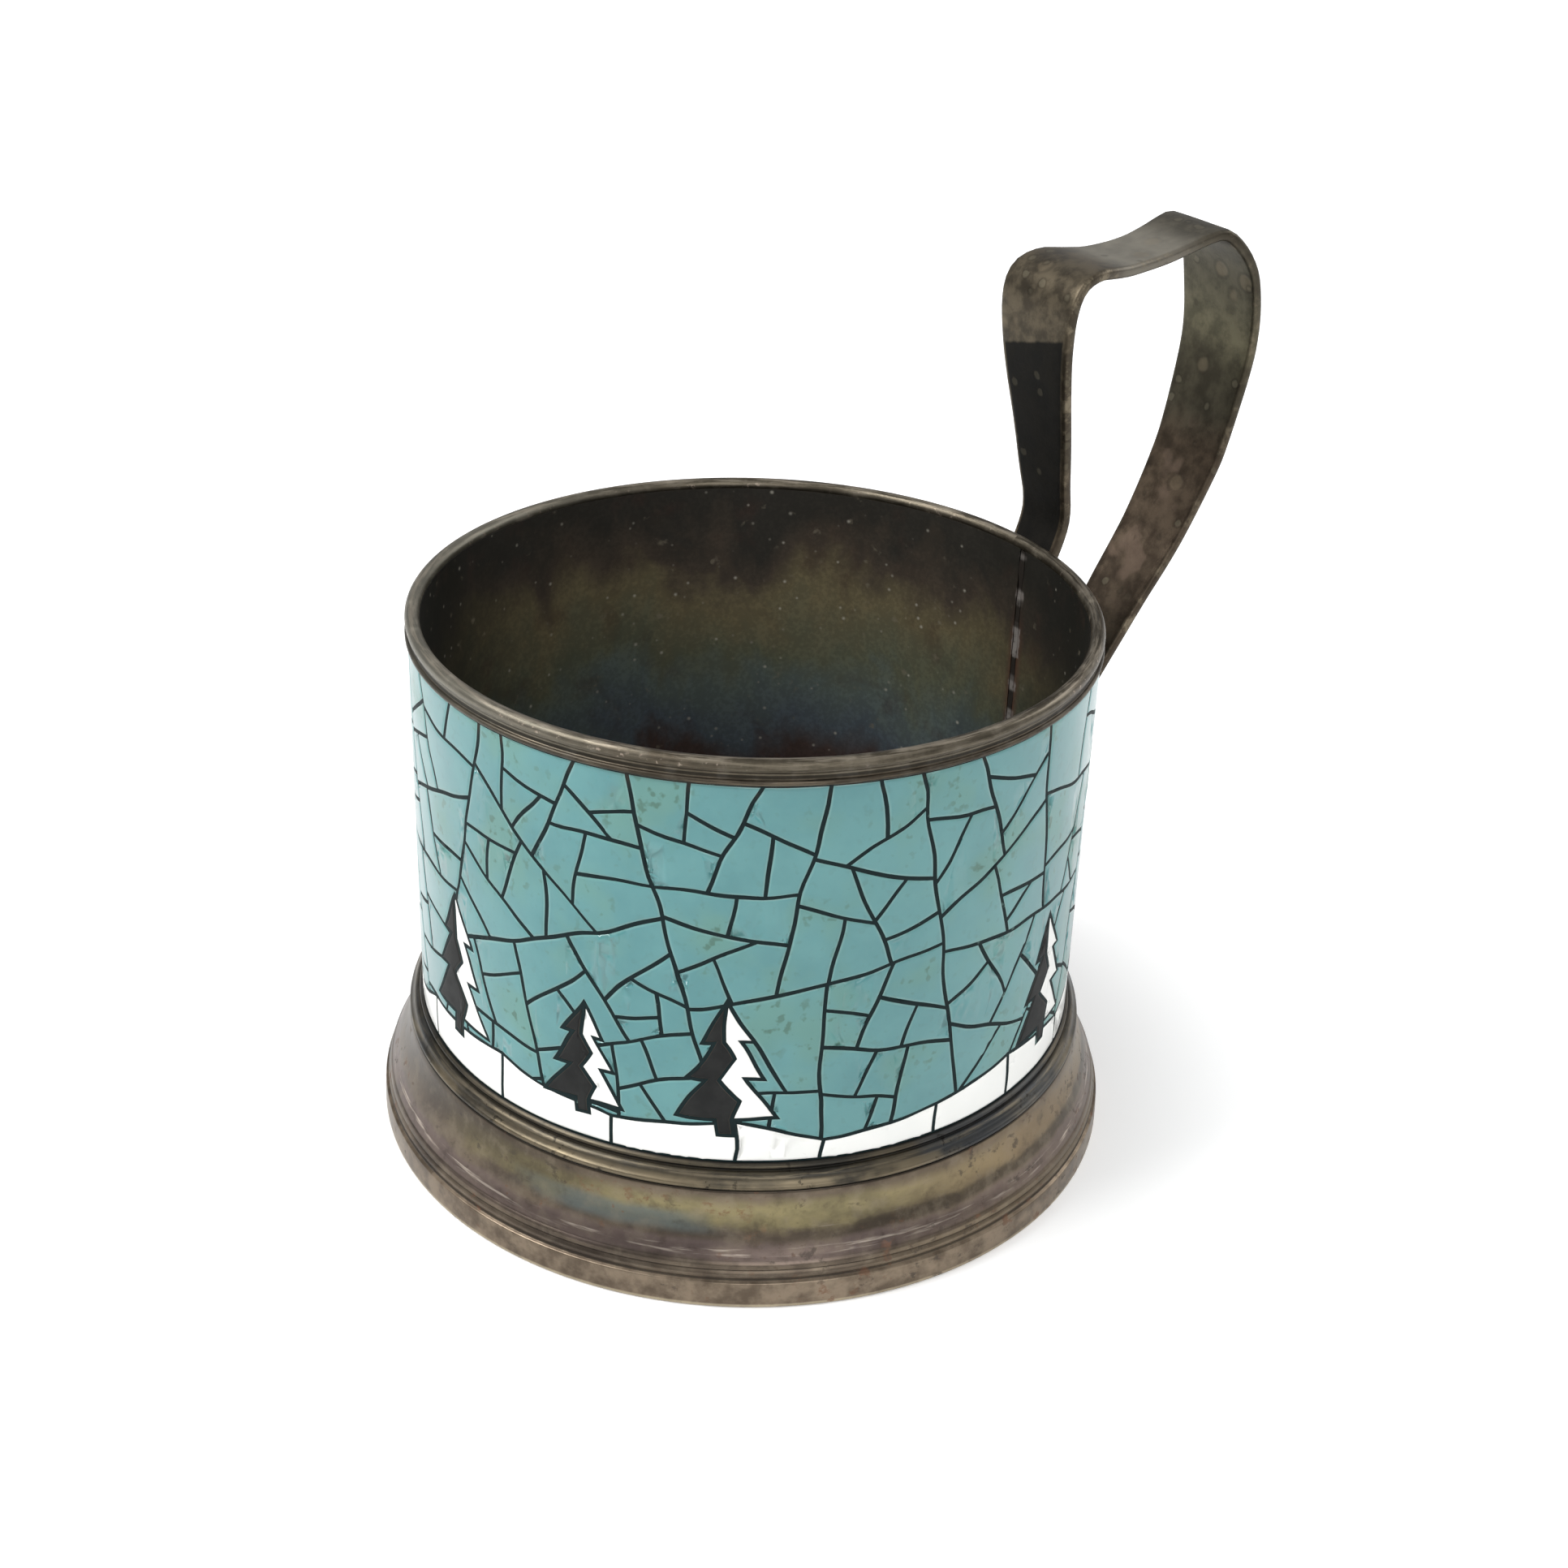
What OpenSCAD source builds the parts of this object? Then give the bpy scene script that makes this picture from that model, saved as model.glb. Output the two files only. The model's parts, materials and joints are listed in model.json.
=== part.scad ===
// Tea glass holder: an enamelled sleeve on a spun foot, with a strap handle.
// The origin is on the axis, at the table. The handle points along +X.
// Places on the enamel band are written as [arc length, height]. The arc length
// is measured on the enamel's face, from the middle of the land, anticlockwise.

/* [Sleeve] */
// Diameter of the bore that takes the tea glass
bore_d = 68.4; // [62:0.1:76]
// Thickness of the rolled sheet
sheet_t = 0.8; // [0.5:0.1:1.2]
// Height of the enamelled band
band_h = 42; // [36:0.5:56]
// How far the sleeve reaches down below the band, inside the foot
tail_h = 3.8; // [3.4:0.1:8]
// Width of the butt seam
seam_w = 0.4; // [0.2:0.1:0.8]
// Turn of the seam away from the handle's middle, in degrees
seam_turn = -3.3; // [-8:0.1:8]

/* [Enamel] */
// Thickness of the enamel and of its partition walls
enamel_t = 0.5; // [0.3:0.05:0.8]
// Width of a partition wall
wall_w = 0.38; // [0.25:0.01:0.6]
// Width of the plain land that carries the handle
land_w = 13; // [11.5:0.5:20]
// Side of a square as large as a typical crackle cell
cell_side = 6.6; // [5.6:0.1:9]
// Number that sets the crackle layout
crackle_seed = 18; // [1:1:20]

/* [Picture] */
// Height of the tallest tree
tree_h = 16.5; // [10:0.5:18]
// Width of the tallest tree
tree_w = 10.5; // [6:0.5:11]
// Height of the deepest snow bank
bank_h = 5.6; // [3:0.1:7]
// Number of trees round the band
tree_count = 8; // [4:1:9]

/* [Rim] */
// Height of the rim moulding
rim_h = 2.55; // [2.2:0.05:4]
// Diameter of the rim's round bead
rim_bead_d = 1.5; // [1.3:0.05:1.8]
// Diameter of the fine ridge below the bead
rim_ridge_d = 0.6; // [0.4:0.05:0.7]
// How far the rim's bead stands out from the enamel
rim_proud = 0.25; // [0.1:0.05:0.6]

/* [Foot] */
// Diameter of the standing edge
foot_d = 80.2; // [77:0.2:92]
// Height of the flared shell
foot_h = 12; // [10:0.5:16]
// Thickness of the spun sheet
foot_t = 0.8; // [0.5:0.1:1.2]
// Width of the rolled-in standing edge
foot_lip_w = 2.4; // [1.6:0.1:4]
// Height of the collar between the foot and the band
collar_h = 2.5; // [2.2:0.1:4]
// Diameter of the collar's round bead
collar_bead_d = 1.7; // [1.4:0.05:2]
// Diameter of the collar's fine ridge
collar_ridge_d = 0.8; // [0.5:0.05:0.9]
// How far the collar's bead stands out from the enamel
collar_proud = 1.1; // [0.9:0.05:1.6]

/* [Seat] */
// Thickness of the disc that the glass stands on
seat_t = 0.9; // [0.6:0.1:1.5]
// Diameter of the ring that is pressed into the disc to stiffen it
seat_ring_d = 50; // [40:1:54]
// Width of that ring
seat_ring_w = 4; // [2:0.5:6]
// Depth of that ring
seat_ring_depth = 0.6; // [0.4:0.1:1]

/* [Handle] */
// Thickness of the strap
strap_t = 1.4; // [1:0.1:2]
// Width of the strap at its widest, on the two bends
strap_w = 11.7; // [11:0.1:14]
// Width of the strap across the middle of its top
waist_w = 8; // [7:0.1:10]
// Length of that narrower stretch
waist_l = 25; // [20:0.5:27]
// Width of the strap at its upper end
upper_w = 7; // [6:0.1:7.5]
// Width of the strap at its lower end
lower_w = 6.6; // [6:0.1:7.6]
// Height of the crest above the rim
handle_rise = 32.3; // [24:0.1:44]
// How far the handle reaches out from the enamel
handle_reach = 27.6; // [22:0.1:34]
// Length of the part of each end that is soldered down
pad_l = 8.5; // [6:0.5:10]
// Height of the lower end above the band's lower edge
lower_pad_z = 3; // [2:0.5:6]
// Distance from the upper end's bend down from the rim moulding
upper_pad_drop = 3.6; // [3:0.1:6]
// Width of the solder round each end
solder_w = 0.9; // [0.5:0.1:1.2]

/* [Hidden] */
$fn = 180;

// Radii from the axis outwards, and heights from the table upwards
bore_r = bore_d / 2;
metal_r = bore_r + sheet_t;
band_r = metal_r + enamel_t;
foot_r = foot_d / 2;
band_z = foot_h + collar_h;
rim_z = band_z + band_h;
top_z = rim_z + rim_h;
tail_z = band_z - tail_h;
bead_z = top_z - rim_bead_d / 2;
sleeve_top = bead_z - rim_bead_d / 6;
bead_r = band_r + rim_proud - rim_bead_d / 2;

// Overrun of every cut
over = 1;

// Degrees in one millimetre of arc on the enamel's face
arc_deg = 180 / (PI * band_r);

// Plan geometry

function sum(list, i = 0) = i < len(list) ? list[i] + sum(list, i + 1) : 0;
function middle(p) = [sum([for (q = p) q.x]), sum([for (q = p) q.y])] / len(p);
function unit(v) = v / norm(v);
function turn(v) = [-v.y, v.x];
function turned(v, by) = [v.x * cos(by) - v.y * sin(by), v.x * sin(by) + v.y * cos(by)];
function next(p, i) = p[(i + 1) % len(p)];
function last(p, i) = p[(i + len(p) - 1) % len(p)];
function area(p) = sum([for (i = [0:len(p) - 1]) cross(p[i], next(p, i))]) / 2;

// The polygon moved inwards by a distance, or outwards by a negative one
function inset(p, by) = [for (i = [0:len(p) - 1])
    let (a = turn(unit(p[i] - last(p, i))), b = turn(unit(next(p, i) - p[i])))
    p[i] + by * (a + b) / (1 + a * b)];

// The part of a convex polygon on the side of a line that its normal points to
function clipped(p, on, normal) = [for (i = [0:len(p) - 1])
    let (a = p[i], b = next(p, i), da = (a - on) * normal, db = (b - on) * normal)
    each [if (da >= 0) a, if (da * db < 0) a + (b - a) * da / (da - db)]];

// The least distance from a corner of the polygon to a place where the line crosses its edge
function spare(p, on, normal) = min([for (i = [0:len(p) - 1])
    let (a = p[i], b = next(p, i), da = (a - on) * normal, db = (b - on) * normal)
    if (da * db < 0) norm(b - a) * min(da / (da - db), db / (db - da))]);

// The polygon without the corners that lie closer than the least edge to the one before
function cleaned(p, least) = [for (i = [0:len(p) - 1]) if (norm(p[i] - last(p, i)) > least) p[i]];

// The direction between the two corners of a polygon that lie farthest apart
function long_way(p) =
    let (spans = [for (i = [0:len(p) - 1]) for (j = [0:len(p) - 1]) p[j] - p[i]],
         far = max([for (s = spans) norm(s)]))
    unit([for (s = spans) if (norm(s) == far) s][0]);

// Crackle: a sheet split again and again across its long way, until a cell is small

// Share of the typical area at which splitting stops, from the first to the second
stop_shares = [0.55, 2];
// Cracks tried at each split; the one that keeps clearest of the corners stays
crack_tries = 9;
// Least edge of a cell, as a share of the typical side
edge_share = 0.1;
// Largest turn of a crack away from square, in degrees
crack_turn = 30;
// Largest shift of a crack from the cell's middle, as a share of the typical side
shift_share = 0.3;

function crackle(p, seed) =
    let (r = rands(-1, 1, 1 + 2 * crack_tries, seed),
         stop = sum(stop_shares) / 2 + r[0] * (stop_shares[1] - stop_shares[0]) / 2)
    area(p) < stop * cell_side ^ 2 ? [p] :
    let (way = long_way(p),
         mid = middle(p),
         normals = [for (k = [1:crack_tries]) turned(way, crack_turn * r[k])],
         places = [for (k = [1:crack_tries])
             mid + way * shift_share * cell_side * r[k + crack_tries]],
         spares = [for (k = [0:crack_tries - 1]) spare(p, places[k], normals[k])],
         best = search(max(spares), spares)[0])
    concat(crackle(clipped(p, places[best], normals[best]), seed * 2 + 1),
           crackle(clipped(p, places[best], -normals[best]), seed * 2 + 2));

// Where the first long cracks stand, as shares of the band, at its lower and its upper edge
sheet_shares = [[0, 0], [0.265, 0.235], [0.48, 0.525], [0.775, 0.74], [1, 1]];

band_l = 2 * PI * band_r;
function along(share) = land_w / 2 + share * (band_l - land_w);
function sheet(i) =
    let (a = sheet_shares[i], b = sheet_shares[i + 1])
    [[along(a[0]), band_z], [along(b[0]), band_z], [along(b[1]), rim_z], [along(a[1]), rim_z]];
sheets = len(sheet_shares) - 1;

cells = [for (i = [0:sheets - 1]) for (p = crackle(sheet(i), crackle_seed * sheets + i))
    let (q = cleaned(p, edge_share * cell_side))
    if (len(q) > 2 && area(inset(q, wall_w)) > 0) q];

// Picture: snow-laden trees on snow banks

// Right side of a tree's boughs from the tip down, as shares of its half width and height
tier_shares = [[0, 1], [0.5, 0.7], [0.26, 0.7], [0.76, 0.42], [0.4, 0.42], [1, 0.12]];
// Right side of its trunk from the top down, as the same shares
trunk_shares = [[0.16, 0.12], [0.16, 0]];
// The line between its lit and dark halves, from the trunk up, as the same shares
fold_shares = [[0.16, 0.12], [0.3, 0.26], [-0.12, 0.42], [0.16, 0.56], [-0.06, 0.7]];
// Place along the band, height and foot height of each tree
tree_place_shares = [0.5, 0.585, 0.655, 0.84, 0.91, 0.115, 0.285, 0.345, 0.73];
tree_size_shares = [1, 0.8, 0.94, 0.96, 0.78, 0.92, 1, 0.76, 0.9];
tree_foot_shares = [0.72, 0.5, 0.6, 0.55, 0.72, 0.6, 0.5, 0.7, 0.5];
// Tops of the snow banks: place along the band, and height as a share of the deepest bank
bank_shares = [[0.02, 0.3], [0.075, 0.8], [0.15, 0.7], [0.205, 0.35], [0.255, 0.72], [0.31, 0.6],
               [0.375, 0.9], [0.43, 0.4], [0.47, 0.82], [0.535, 0.98], [0.6, 0.6], [0.66, 0.9],
               [0.7, 0.4], [0.76, 0.6], [0.81, 0.92], [0.865, 0.62], [0.93, 0.95], [0.98, 0.35]];

function placed(p, k) = [for (q = p)
    [along(tree_place_shares[k]) + q.x * tree_w / 2 * tree_size_shares[k],
     band_z + tree_foot_shares[k] * bank_h + q.y * tree_h * tree_size_shares[k]]];
function reversed(p) = [for (i = [len(p) - 1:-1:0]) p[i]];

right_side = concat(tier_shares, trunk_shares);
left_side = [for (q = right_side) [-q.x, q.y]];
trunk_foot = trunk_shares[len(trunk_shares) - 1];

function tree_outline(k) = placed(concat(left_side, [for (q = reversed(right_side)) if (q.y < 1) q]), k);
function tree_dark(k) = placed(concat([trunk_foot], fold_shares, left_side), k);
function tree_lit(k) = placed(reversed(concat(tier_shares, fold_shares)), k);
function bank(i) =
    let (a = bank_shares[i], b = bank_shares[i + 1])
    [[along(a[0]), band_z], [along(b[0]), band_z],
     [along(b[0]), band_z + b[1] * bank_h], [along(a[0]), band_z + a[1] * bank_h]];

banks = [for (i = [0:len(bank_shares) - 2]) bank(i)];

// A shape on the band, as a block that stands out through the enamel
module block(p) {
    mid = middle(p).x;
    rotate([0, 0, mid * arc_deg])
        translate([metal_r - over, 0, 0])
            rotate([90, 0, 90])
                linear_extrude(2 * over + enamel_t)
                    polygon([for (q = p) [band_r * sin((q.x - mid) * arc_deg), q.y]]);
}

module tube(r_in, r_out, z_low, z_high) {
    difference() {
        translate([0, 0, z_low])
            cylinder(r = r_out, h = z_high - z_low);
        translate([0, 0, z_low - over])
            cylinder(r = r_in, h = z_high - z_low + 2 * over);
    }
}

module layer() {
    tube(metal_r, band_r, band_z, rim_z);
}

module tree_room() {
    for (k = [0:tree_count - 1])
        block(inset(tree_outline(k), -wall_w / 2));
}

module picture_room() {
    tree_room();
    for (p = banks)
        block(inset(p, -wall_w / 2));
}

module crackle_blocks() {
    difference() {
        for (p = cells)
            block(inset(p, wall_w / 2));
        picture_room();
    }
}

module dark_blocks() {
    for (k = [0:tree_count - 1])
        block(inset(tree_dark(k), wall_w / 2));
}

module light_blocks() {
    difference() {
        for (p = banks)
            block(inset(p, wall_w / 2));
        tree_room();
    }
    for (k = [0:tree_count - 1])
        block(inset(tree_lit(k), wall_w / 2));
}

// The slit where the rolled sheet's edges meet
module seam_gap() {
    rotate([0, 0, seam_turn])
        translate([bore_r - over, -seam_w / 2, tail_z - over])
            cube([sheet_t + 2 * over, seam_w, sleeve_top - tail_z + 2 * over]);
}

module sleeve() {
    color([0.42, 0.39, 0.34])
        difference() {
            tube(bore_r, metal_r, tail_z, sleeve_top);
            seam_gap();
        }
}

module seam_solder() {
    color([0.6, 0.58, 0.52])
        intersection() {
            tube(bore_r, metal_r, tail_z, sleeve_top);
            seam_gap();
        }
}

module cell_walls() {
    color([0.1, 0.13, 0.13])
        difference() {
            layer();
            crackle_blocks();
            light_blocks();
            dark_blocks();
        }
}

module enamel_turquoise() {
    color([0.46, 0.66, 0.66])
        intersection() {
            layer();
            crackle_blocks();
        }
}

module enamel_white() {
    color([0.97, 0.97, 0.95])
        intersection() {
            layer();
            light_blocks();
        }
}

module enamel_black() {
    color([0.2, 0.2, 0.2])
        intersection() {
            layer();
            dark_blocks();
        }
}

module rim_ring() {
    ridge_z = rim_z + rim_ridge_d / 2;
    color([0.44, 0.41, 0.36])
        rotate_extrude()
            difference() {
                union() {
                    translate([bead_r, bead_z])
                        circle(d = rim_bead_d);
                    translate([metal_r, rim_z])
                        square([enamel_t, bead_z - rim_z]);
                    translate([band_r, ridge_z])
                        circle(d = rim_ridge_d);
                }
                translate([bore_r - over, rim_z - over])
                    square([sheet_t + over, sleeve_top - rim_z + over]);
            }
}

module foot_collar() {
    bead_out = band_r + collar_proud - collar_bead_d / 2;
    color([0.4, 0.38, 0.34])
        rotate_extrude()
            difference() {
                union() {
                    translate([metal_r, foot_h])
                        square([enamel_t, collar_h]);
                    translate([metal_r, foot_h])
                        square([bead_out - metal_r, collar_bead_d]);
                    translate([bead_out, foot_h + collar_bead_d / 2])
                        circle(d = collar_bead_d);
                    translate([band_r + collar_proud, foot_h + collar_ridge_d / 2])
                        circle(d = collar_ridge_d);
                }
                translate([metal_r - over, foot_h - over])
                    square([over, collar_h + 2 * over]);
            }
}

// The foot's outer line from the table up: share of the flare, and share of the height
foot_shares = [[0.94, 0], [1, 0.025], [1, 0.06], [0.965, 0.255], [0.9, 0.265], [0.885, 0.29],
               [0.855, 0.345], [0.835, 0.355], [0.78, 0.415], [0.75, 0.425], [0.61, 0.5],
               [0.52, 0.565], [0.4, 0.65], [0.27, 0.76], [0.16, 0.87], [0.1, 1]];
// The share of the height at which the shell turns in to the sleeve
foot_flat_share = 0.93;

module foot() {
    flare = foot_r - band_r - collar_proud;
    outer = [for (s = foot_shares) [band_r + collar_proud + s[0] * flare, s[1] * foot_h]];
    inner = [for (i = [len(outer) - 1:-1:0]) let (q = outer[i])
        if (q.y > foot_t && q.y < foot_h - foot_t) [q.x - foot_t, q.y]];
    shell = concat(outer, [[metal_r, foot_h], [metal_r, foot_h - foot_t]],
                   [[inner[0].x, foot_h - foot_t]], inner,
                   [[inner[len(inner) - 1].x, foot_t], [foot_r - foot_lip_w, foot_t],
                    [foot_r - foot_lip_w, 0]]);
    color([0.47, 0.43, 0.37])
        rotate_extrude()
            polygon(shell);
}

// The disc closes the sleeve from below and lies against its lower edge
module seat_disc() {
    ring_r = seat_ring_d / 2;
    upper = [[0, tail_z], [ring_r - seat_ring_w / 2, tail_z],
             [ring_r - seat_ring_w / 4, tail_z - seat_ring_depth],
             [ring_r + seat_ring_w / 4, tail_z - seat_ring_depth],
             [ring_r + seat_ring_w / 2, tail_z], [metal_r, tail_z]];
    color([0.3, 0.27, 0.22])
        rotate_extrude()
            polygon(concat(upper, [for (q = reversed(upper)) [q.x, q.y - seat_t]]));
}

// Handle: the strap's middle line, in [distance from the axis, height]

// From the rim up to the crest: share of the reach, and share of the rise
rise_shares = [[0.104, 0], [0.119, 0.09], [0.095, 0.2], [0.058, 0.378], [0.019, 0.54],
               [-0.006, 0.67], [-0.015, 0.79], [0, 0.872], [0.045, 0.922], [0.13, 0.943],
               [0.225, 0.937], [0.335, 0.932], [0.5, 0.945], [0.63, 0.97], [0.735, 0.995],
               [0.81, 1]];
// From the crest down to the lower end: share of the reach, and share of the drop
drop_shares = [[0.89, 0.973], [0.952, 0.932], [0.983, 0.88], [1, 0.82], [0.99, 0.755],
               [0.93, 0.64], [0.878, 0.575], [0.738, 0.46], [0.56, 0.35], [0.37, 0.23],
               [0.175, 0.1], [0.055, 0.025]];
// Points on each stretch of the curve
curve_steps = 6;

hold_r = band_r + strap_t / 2 - enamel_t / 2;
reach_r = band_r + handle_reach - strap_t / 2;
crest_z = top_z + handle_rise - strap_t / 2;
low_end_z = band_z + lower_pad_z;
low_pad_top = low_end_z + pad_l;
high_pad_top = rim_z - upper_pad_drop;

function reached(share) = band_r + share * (reach_r - band_r);
strap_line = concat(
    [[hold_r, high_pad_top - pad_l], [hold_r, high_pad_top - pad_l / 2], [hold_r, high_pad_top]],
    [for (s = rise_shares) [reached(s[0]), top_z + s[1] * (crest_z - top_z)]],
    [for (s = drop_shares) [reached(s[0]), low_pad_top + s[1] * (crest_z - low_pad_top)]],
    [[hold_r, low_pad_top - pad_l / 4], [hold_r, low_pad_top - pad_l / 2], [hold_r, low_end_z]]);

function eased(a, b, c, d, t) =
    (2 * b + (c - a) * t + (2 * a - 5 * b + 4 * c - d) * t ^ 2 + (3 * b - a - 3 * c + d) * t ^ 3) / 2;
function curve(p) = concat(
    [for (i = [0:len(p) - 2]) for (k = [0:curve_steps - 1])
        eased(p[max(i - 1, 0)], p[i], p[i + 1], p[min(i + 2, len(p) - 1)], k / curve_steps)],
    [p[len(p) - 1]]);
// The line kept straight along the sleeve where the strap's ends lie on it
function seated(p) = [for (q = p) [q.y < high_pad_top ? max(q.x, hold_r) : q.x, q.y]];
function beside(p, by) = [for (i = [0:len(p) - 1])
    p[i] + by * turn(unit(p[min(i + 1, len(p) - 1)] - p[max(i - 1, 0)]))];

// A cut that narrows one edge of the strap, from full width at one height to the end's width
// at another, and on at that width past the part that is soldered down
module edge_cut(r_from, r_to, z_full, z_end, z_pad, end_w) {
    z_low = z_pad - pad_l - over;
    translate([r_from, 0, 0])
        rotate([90, 0, 90])
            linear_extrude(r_to - r_from)
                polygon([[strap_w / 2, z_full], [strap_w / 2 + over, z_full],
                         [strap_w / 2 + over, z_low], [end_w / 2, z_low], [end_w / 2, z_end]]);
}

// A cut that draws one edge of the strap in along its top
module waist_cut() {
    depth = (strap_w - waist_w) / 2;
    waist_r = ((waist_l / 2) ^ 2 + depth ^ 2) / (2 * depth);
    translate([(hold_r + reach_r) / 2, waist_w / 2 + waist_r, crest_z - handle_rise / 4])
        cylinder(r = waist_r, h = handle_rise / 4 + strap_t + over);
}

module strap_body() {
    line = seated(curve(strap_line));
    inner_leg_r = band_r + handle_reach / 4;
    difference() {
        rotate([90, 0, 0])
            linear_extrude(strap_w, center = true)
                polygon(concat(beside(line, strap_t / 2), reversed(beside(line, -strap_t / 2))));
        cylinder(r = band_r, h = rim_z);
        for (side = [0, 1])
            mirror([0, side, 0]) {
                edge_cut(bore_r - 2 * over, inner_leg_r, crest_z - handle_rise / 7,
                         top_z + handle_rise / 12, high_pad_top, upper_w);
                edge_cut(metal_r, reach_r + over, crest_z - handle_rise / 5,
                         low_pad_top, low_pad_top, lower_w);
                waist_cut();
            }
    }
}

module handle() {
    color([0.36, 0.33, 0.28])
        strap_body();
}

// Solder round one end of the strap, on the land
module solder(z_low, z_high, w) {
    difference() {
        translate([metal_r, -w / 2 - solder_w, z_low])
            cube([enamel_t + solder_w, w + 2 * solder_w, z_high - z_low]);
        translate([0, 0, z_low - over])
            cylinder(r = band_r, h = z_high - z_low + 2 * over);
        strap_body();
    }
}

module upper_solder() {
    color([0.5, 0.48, 0.42])
        solder(high_pad_top - pad_l - solder_w, high_pad_top - pad_l / 4, upper_w);
}

module lower_solder() {
    color([0.5, 0.48, 0.42])
        solder(low_end_z - solder_w, low_pad_top - pad_l / 4, lower_w);
}

sleeve();
seam_solder();
cell_walls();
enamel_turquoise();
enamel_white();
enamel_black();
rim_ring();
foot_collar();
foot();
seat_disc();
handle();
upper_solder();
lower_solder();
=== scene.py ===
# A podstakannik: an enamelled sleeve on a spun foot, with a strap handle, for one tea glass.
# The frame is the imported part, in metres: the origin is on the axis at the table, and the
# handle points along +X. Each piece below is made as the real one is, and stands for its solid.
import json
import math

import bpy
import numpy as np
from mathutils import Matrix, Vector, kdtree, noise

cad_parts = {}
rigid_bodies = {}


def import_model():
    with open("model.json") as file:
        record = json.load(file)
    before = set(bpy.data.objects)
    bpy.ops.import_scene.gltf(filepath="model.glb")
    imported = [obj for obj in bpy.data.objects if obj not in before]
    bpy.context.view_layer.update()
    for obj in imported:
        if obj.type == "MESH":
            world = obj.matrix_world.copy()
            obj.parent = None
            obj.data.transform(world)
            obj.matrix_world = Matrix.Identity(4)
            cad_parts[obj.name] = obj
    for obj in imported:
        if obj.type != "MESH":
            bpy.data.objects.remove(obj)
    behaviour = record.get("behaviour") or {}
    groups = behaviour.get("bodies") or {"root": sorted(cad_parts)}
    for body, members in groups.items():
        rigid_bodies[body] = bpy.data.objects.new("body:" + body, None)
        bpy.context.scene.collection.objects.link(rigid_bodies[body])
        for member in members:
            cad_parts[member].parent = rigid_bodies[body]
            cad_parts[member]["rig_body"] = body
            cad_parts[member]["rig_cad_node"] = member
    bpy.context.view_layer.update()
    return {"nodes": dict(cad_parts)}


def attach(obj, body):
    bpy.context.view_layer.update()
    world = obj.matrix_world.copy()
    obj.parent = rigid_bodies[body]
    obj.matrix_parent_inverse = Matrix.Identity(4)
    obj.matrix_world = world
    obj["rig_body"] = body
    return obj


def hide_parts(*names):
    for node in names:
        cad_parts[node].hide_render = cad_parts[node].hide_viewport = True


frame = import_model()

# Sleeve: a sheet of nickel silver rolled to a tube and closed by a butt seam on the handle's side.
# It carries everything else. Its inner face is plain and straight, with old tarnish that shines in
# thin-film colours. Painted shade makes its sides, as the camera sees them, near black.
mm = 0.001
bore_r = 34.2
metal_r = 35.0
band_r = 35.5
tail_z = 10.7
sleeve_top = 58.05
seam_w = 0.4
seam_turn = math.radians(-3.3)
view_x, view_y = 0.57, 0.82
round_steps = 192
weld = 0.002


class Value:
    """A shader socket that can stand in a Python expression."""

    def __init__(self, paint, socket):
        self.paint, self.socket = paint, socket

    def reckon(self, operation, *terms, clamp=False):
        return self.paint.node("ShaderNodeMath", {"operation": operation, "use_clamp": clamp},
                               dict(enumerate(terms)))

    def __add__(self, other):
        return self.reckon("ADD", self, other)

    def __radd__(self, other):
        return self.reckon("ADD", other, self)

    def __sub__(self, other):
        return self.reckon("SUBTRACT", self, other)

    def __rsub__(self, other):
        return self.reckon("SUBTRACT", other, self)

    def __mul__(self, other):
        return self.reckon("MULTIPLY", self, other)

    def __rmul__(self, other):
        return self.reckon("MULTIPLY", other, self)

    def __truediv__(self, other):
        return self.reckon("DIVIDE", self, other)

    def __pow__(self, other):
        return self.reckon("POWER", self, other)

    def held(self):
        return self.reckon("ADD", self, 0.0, clamp=True)


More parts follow.
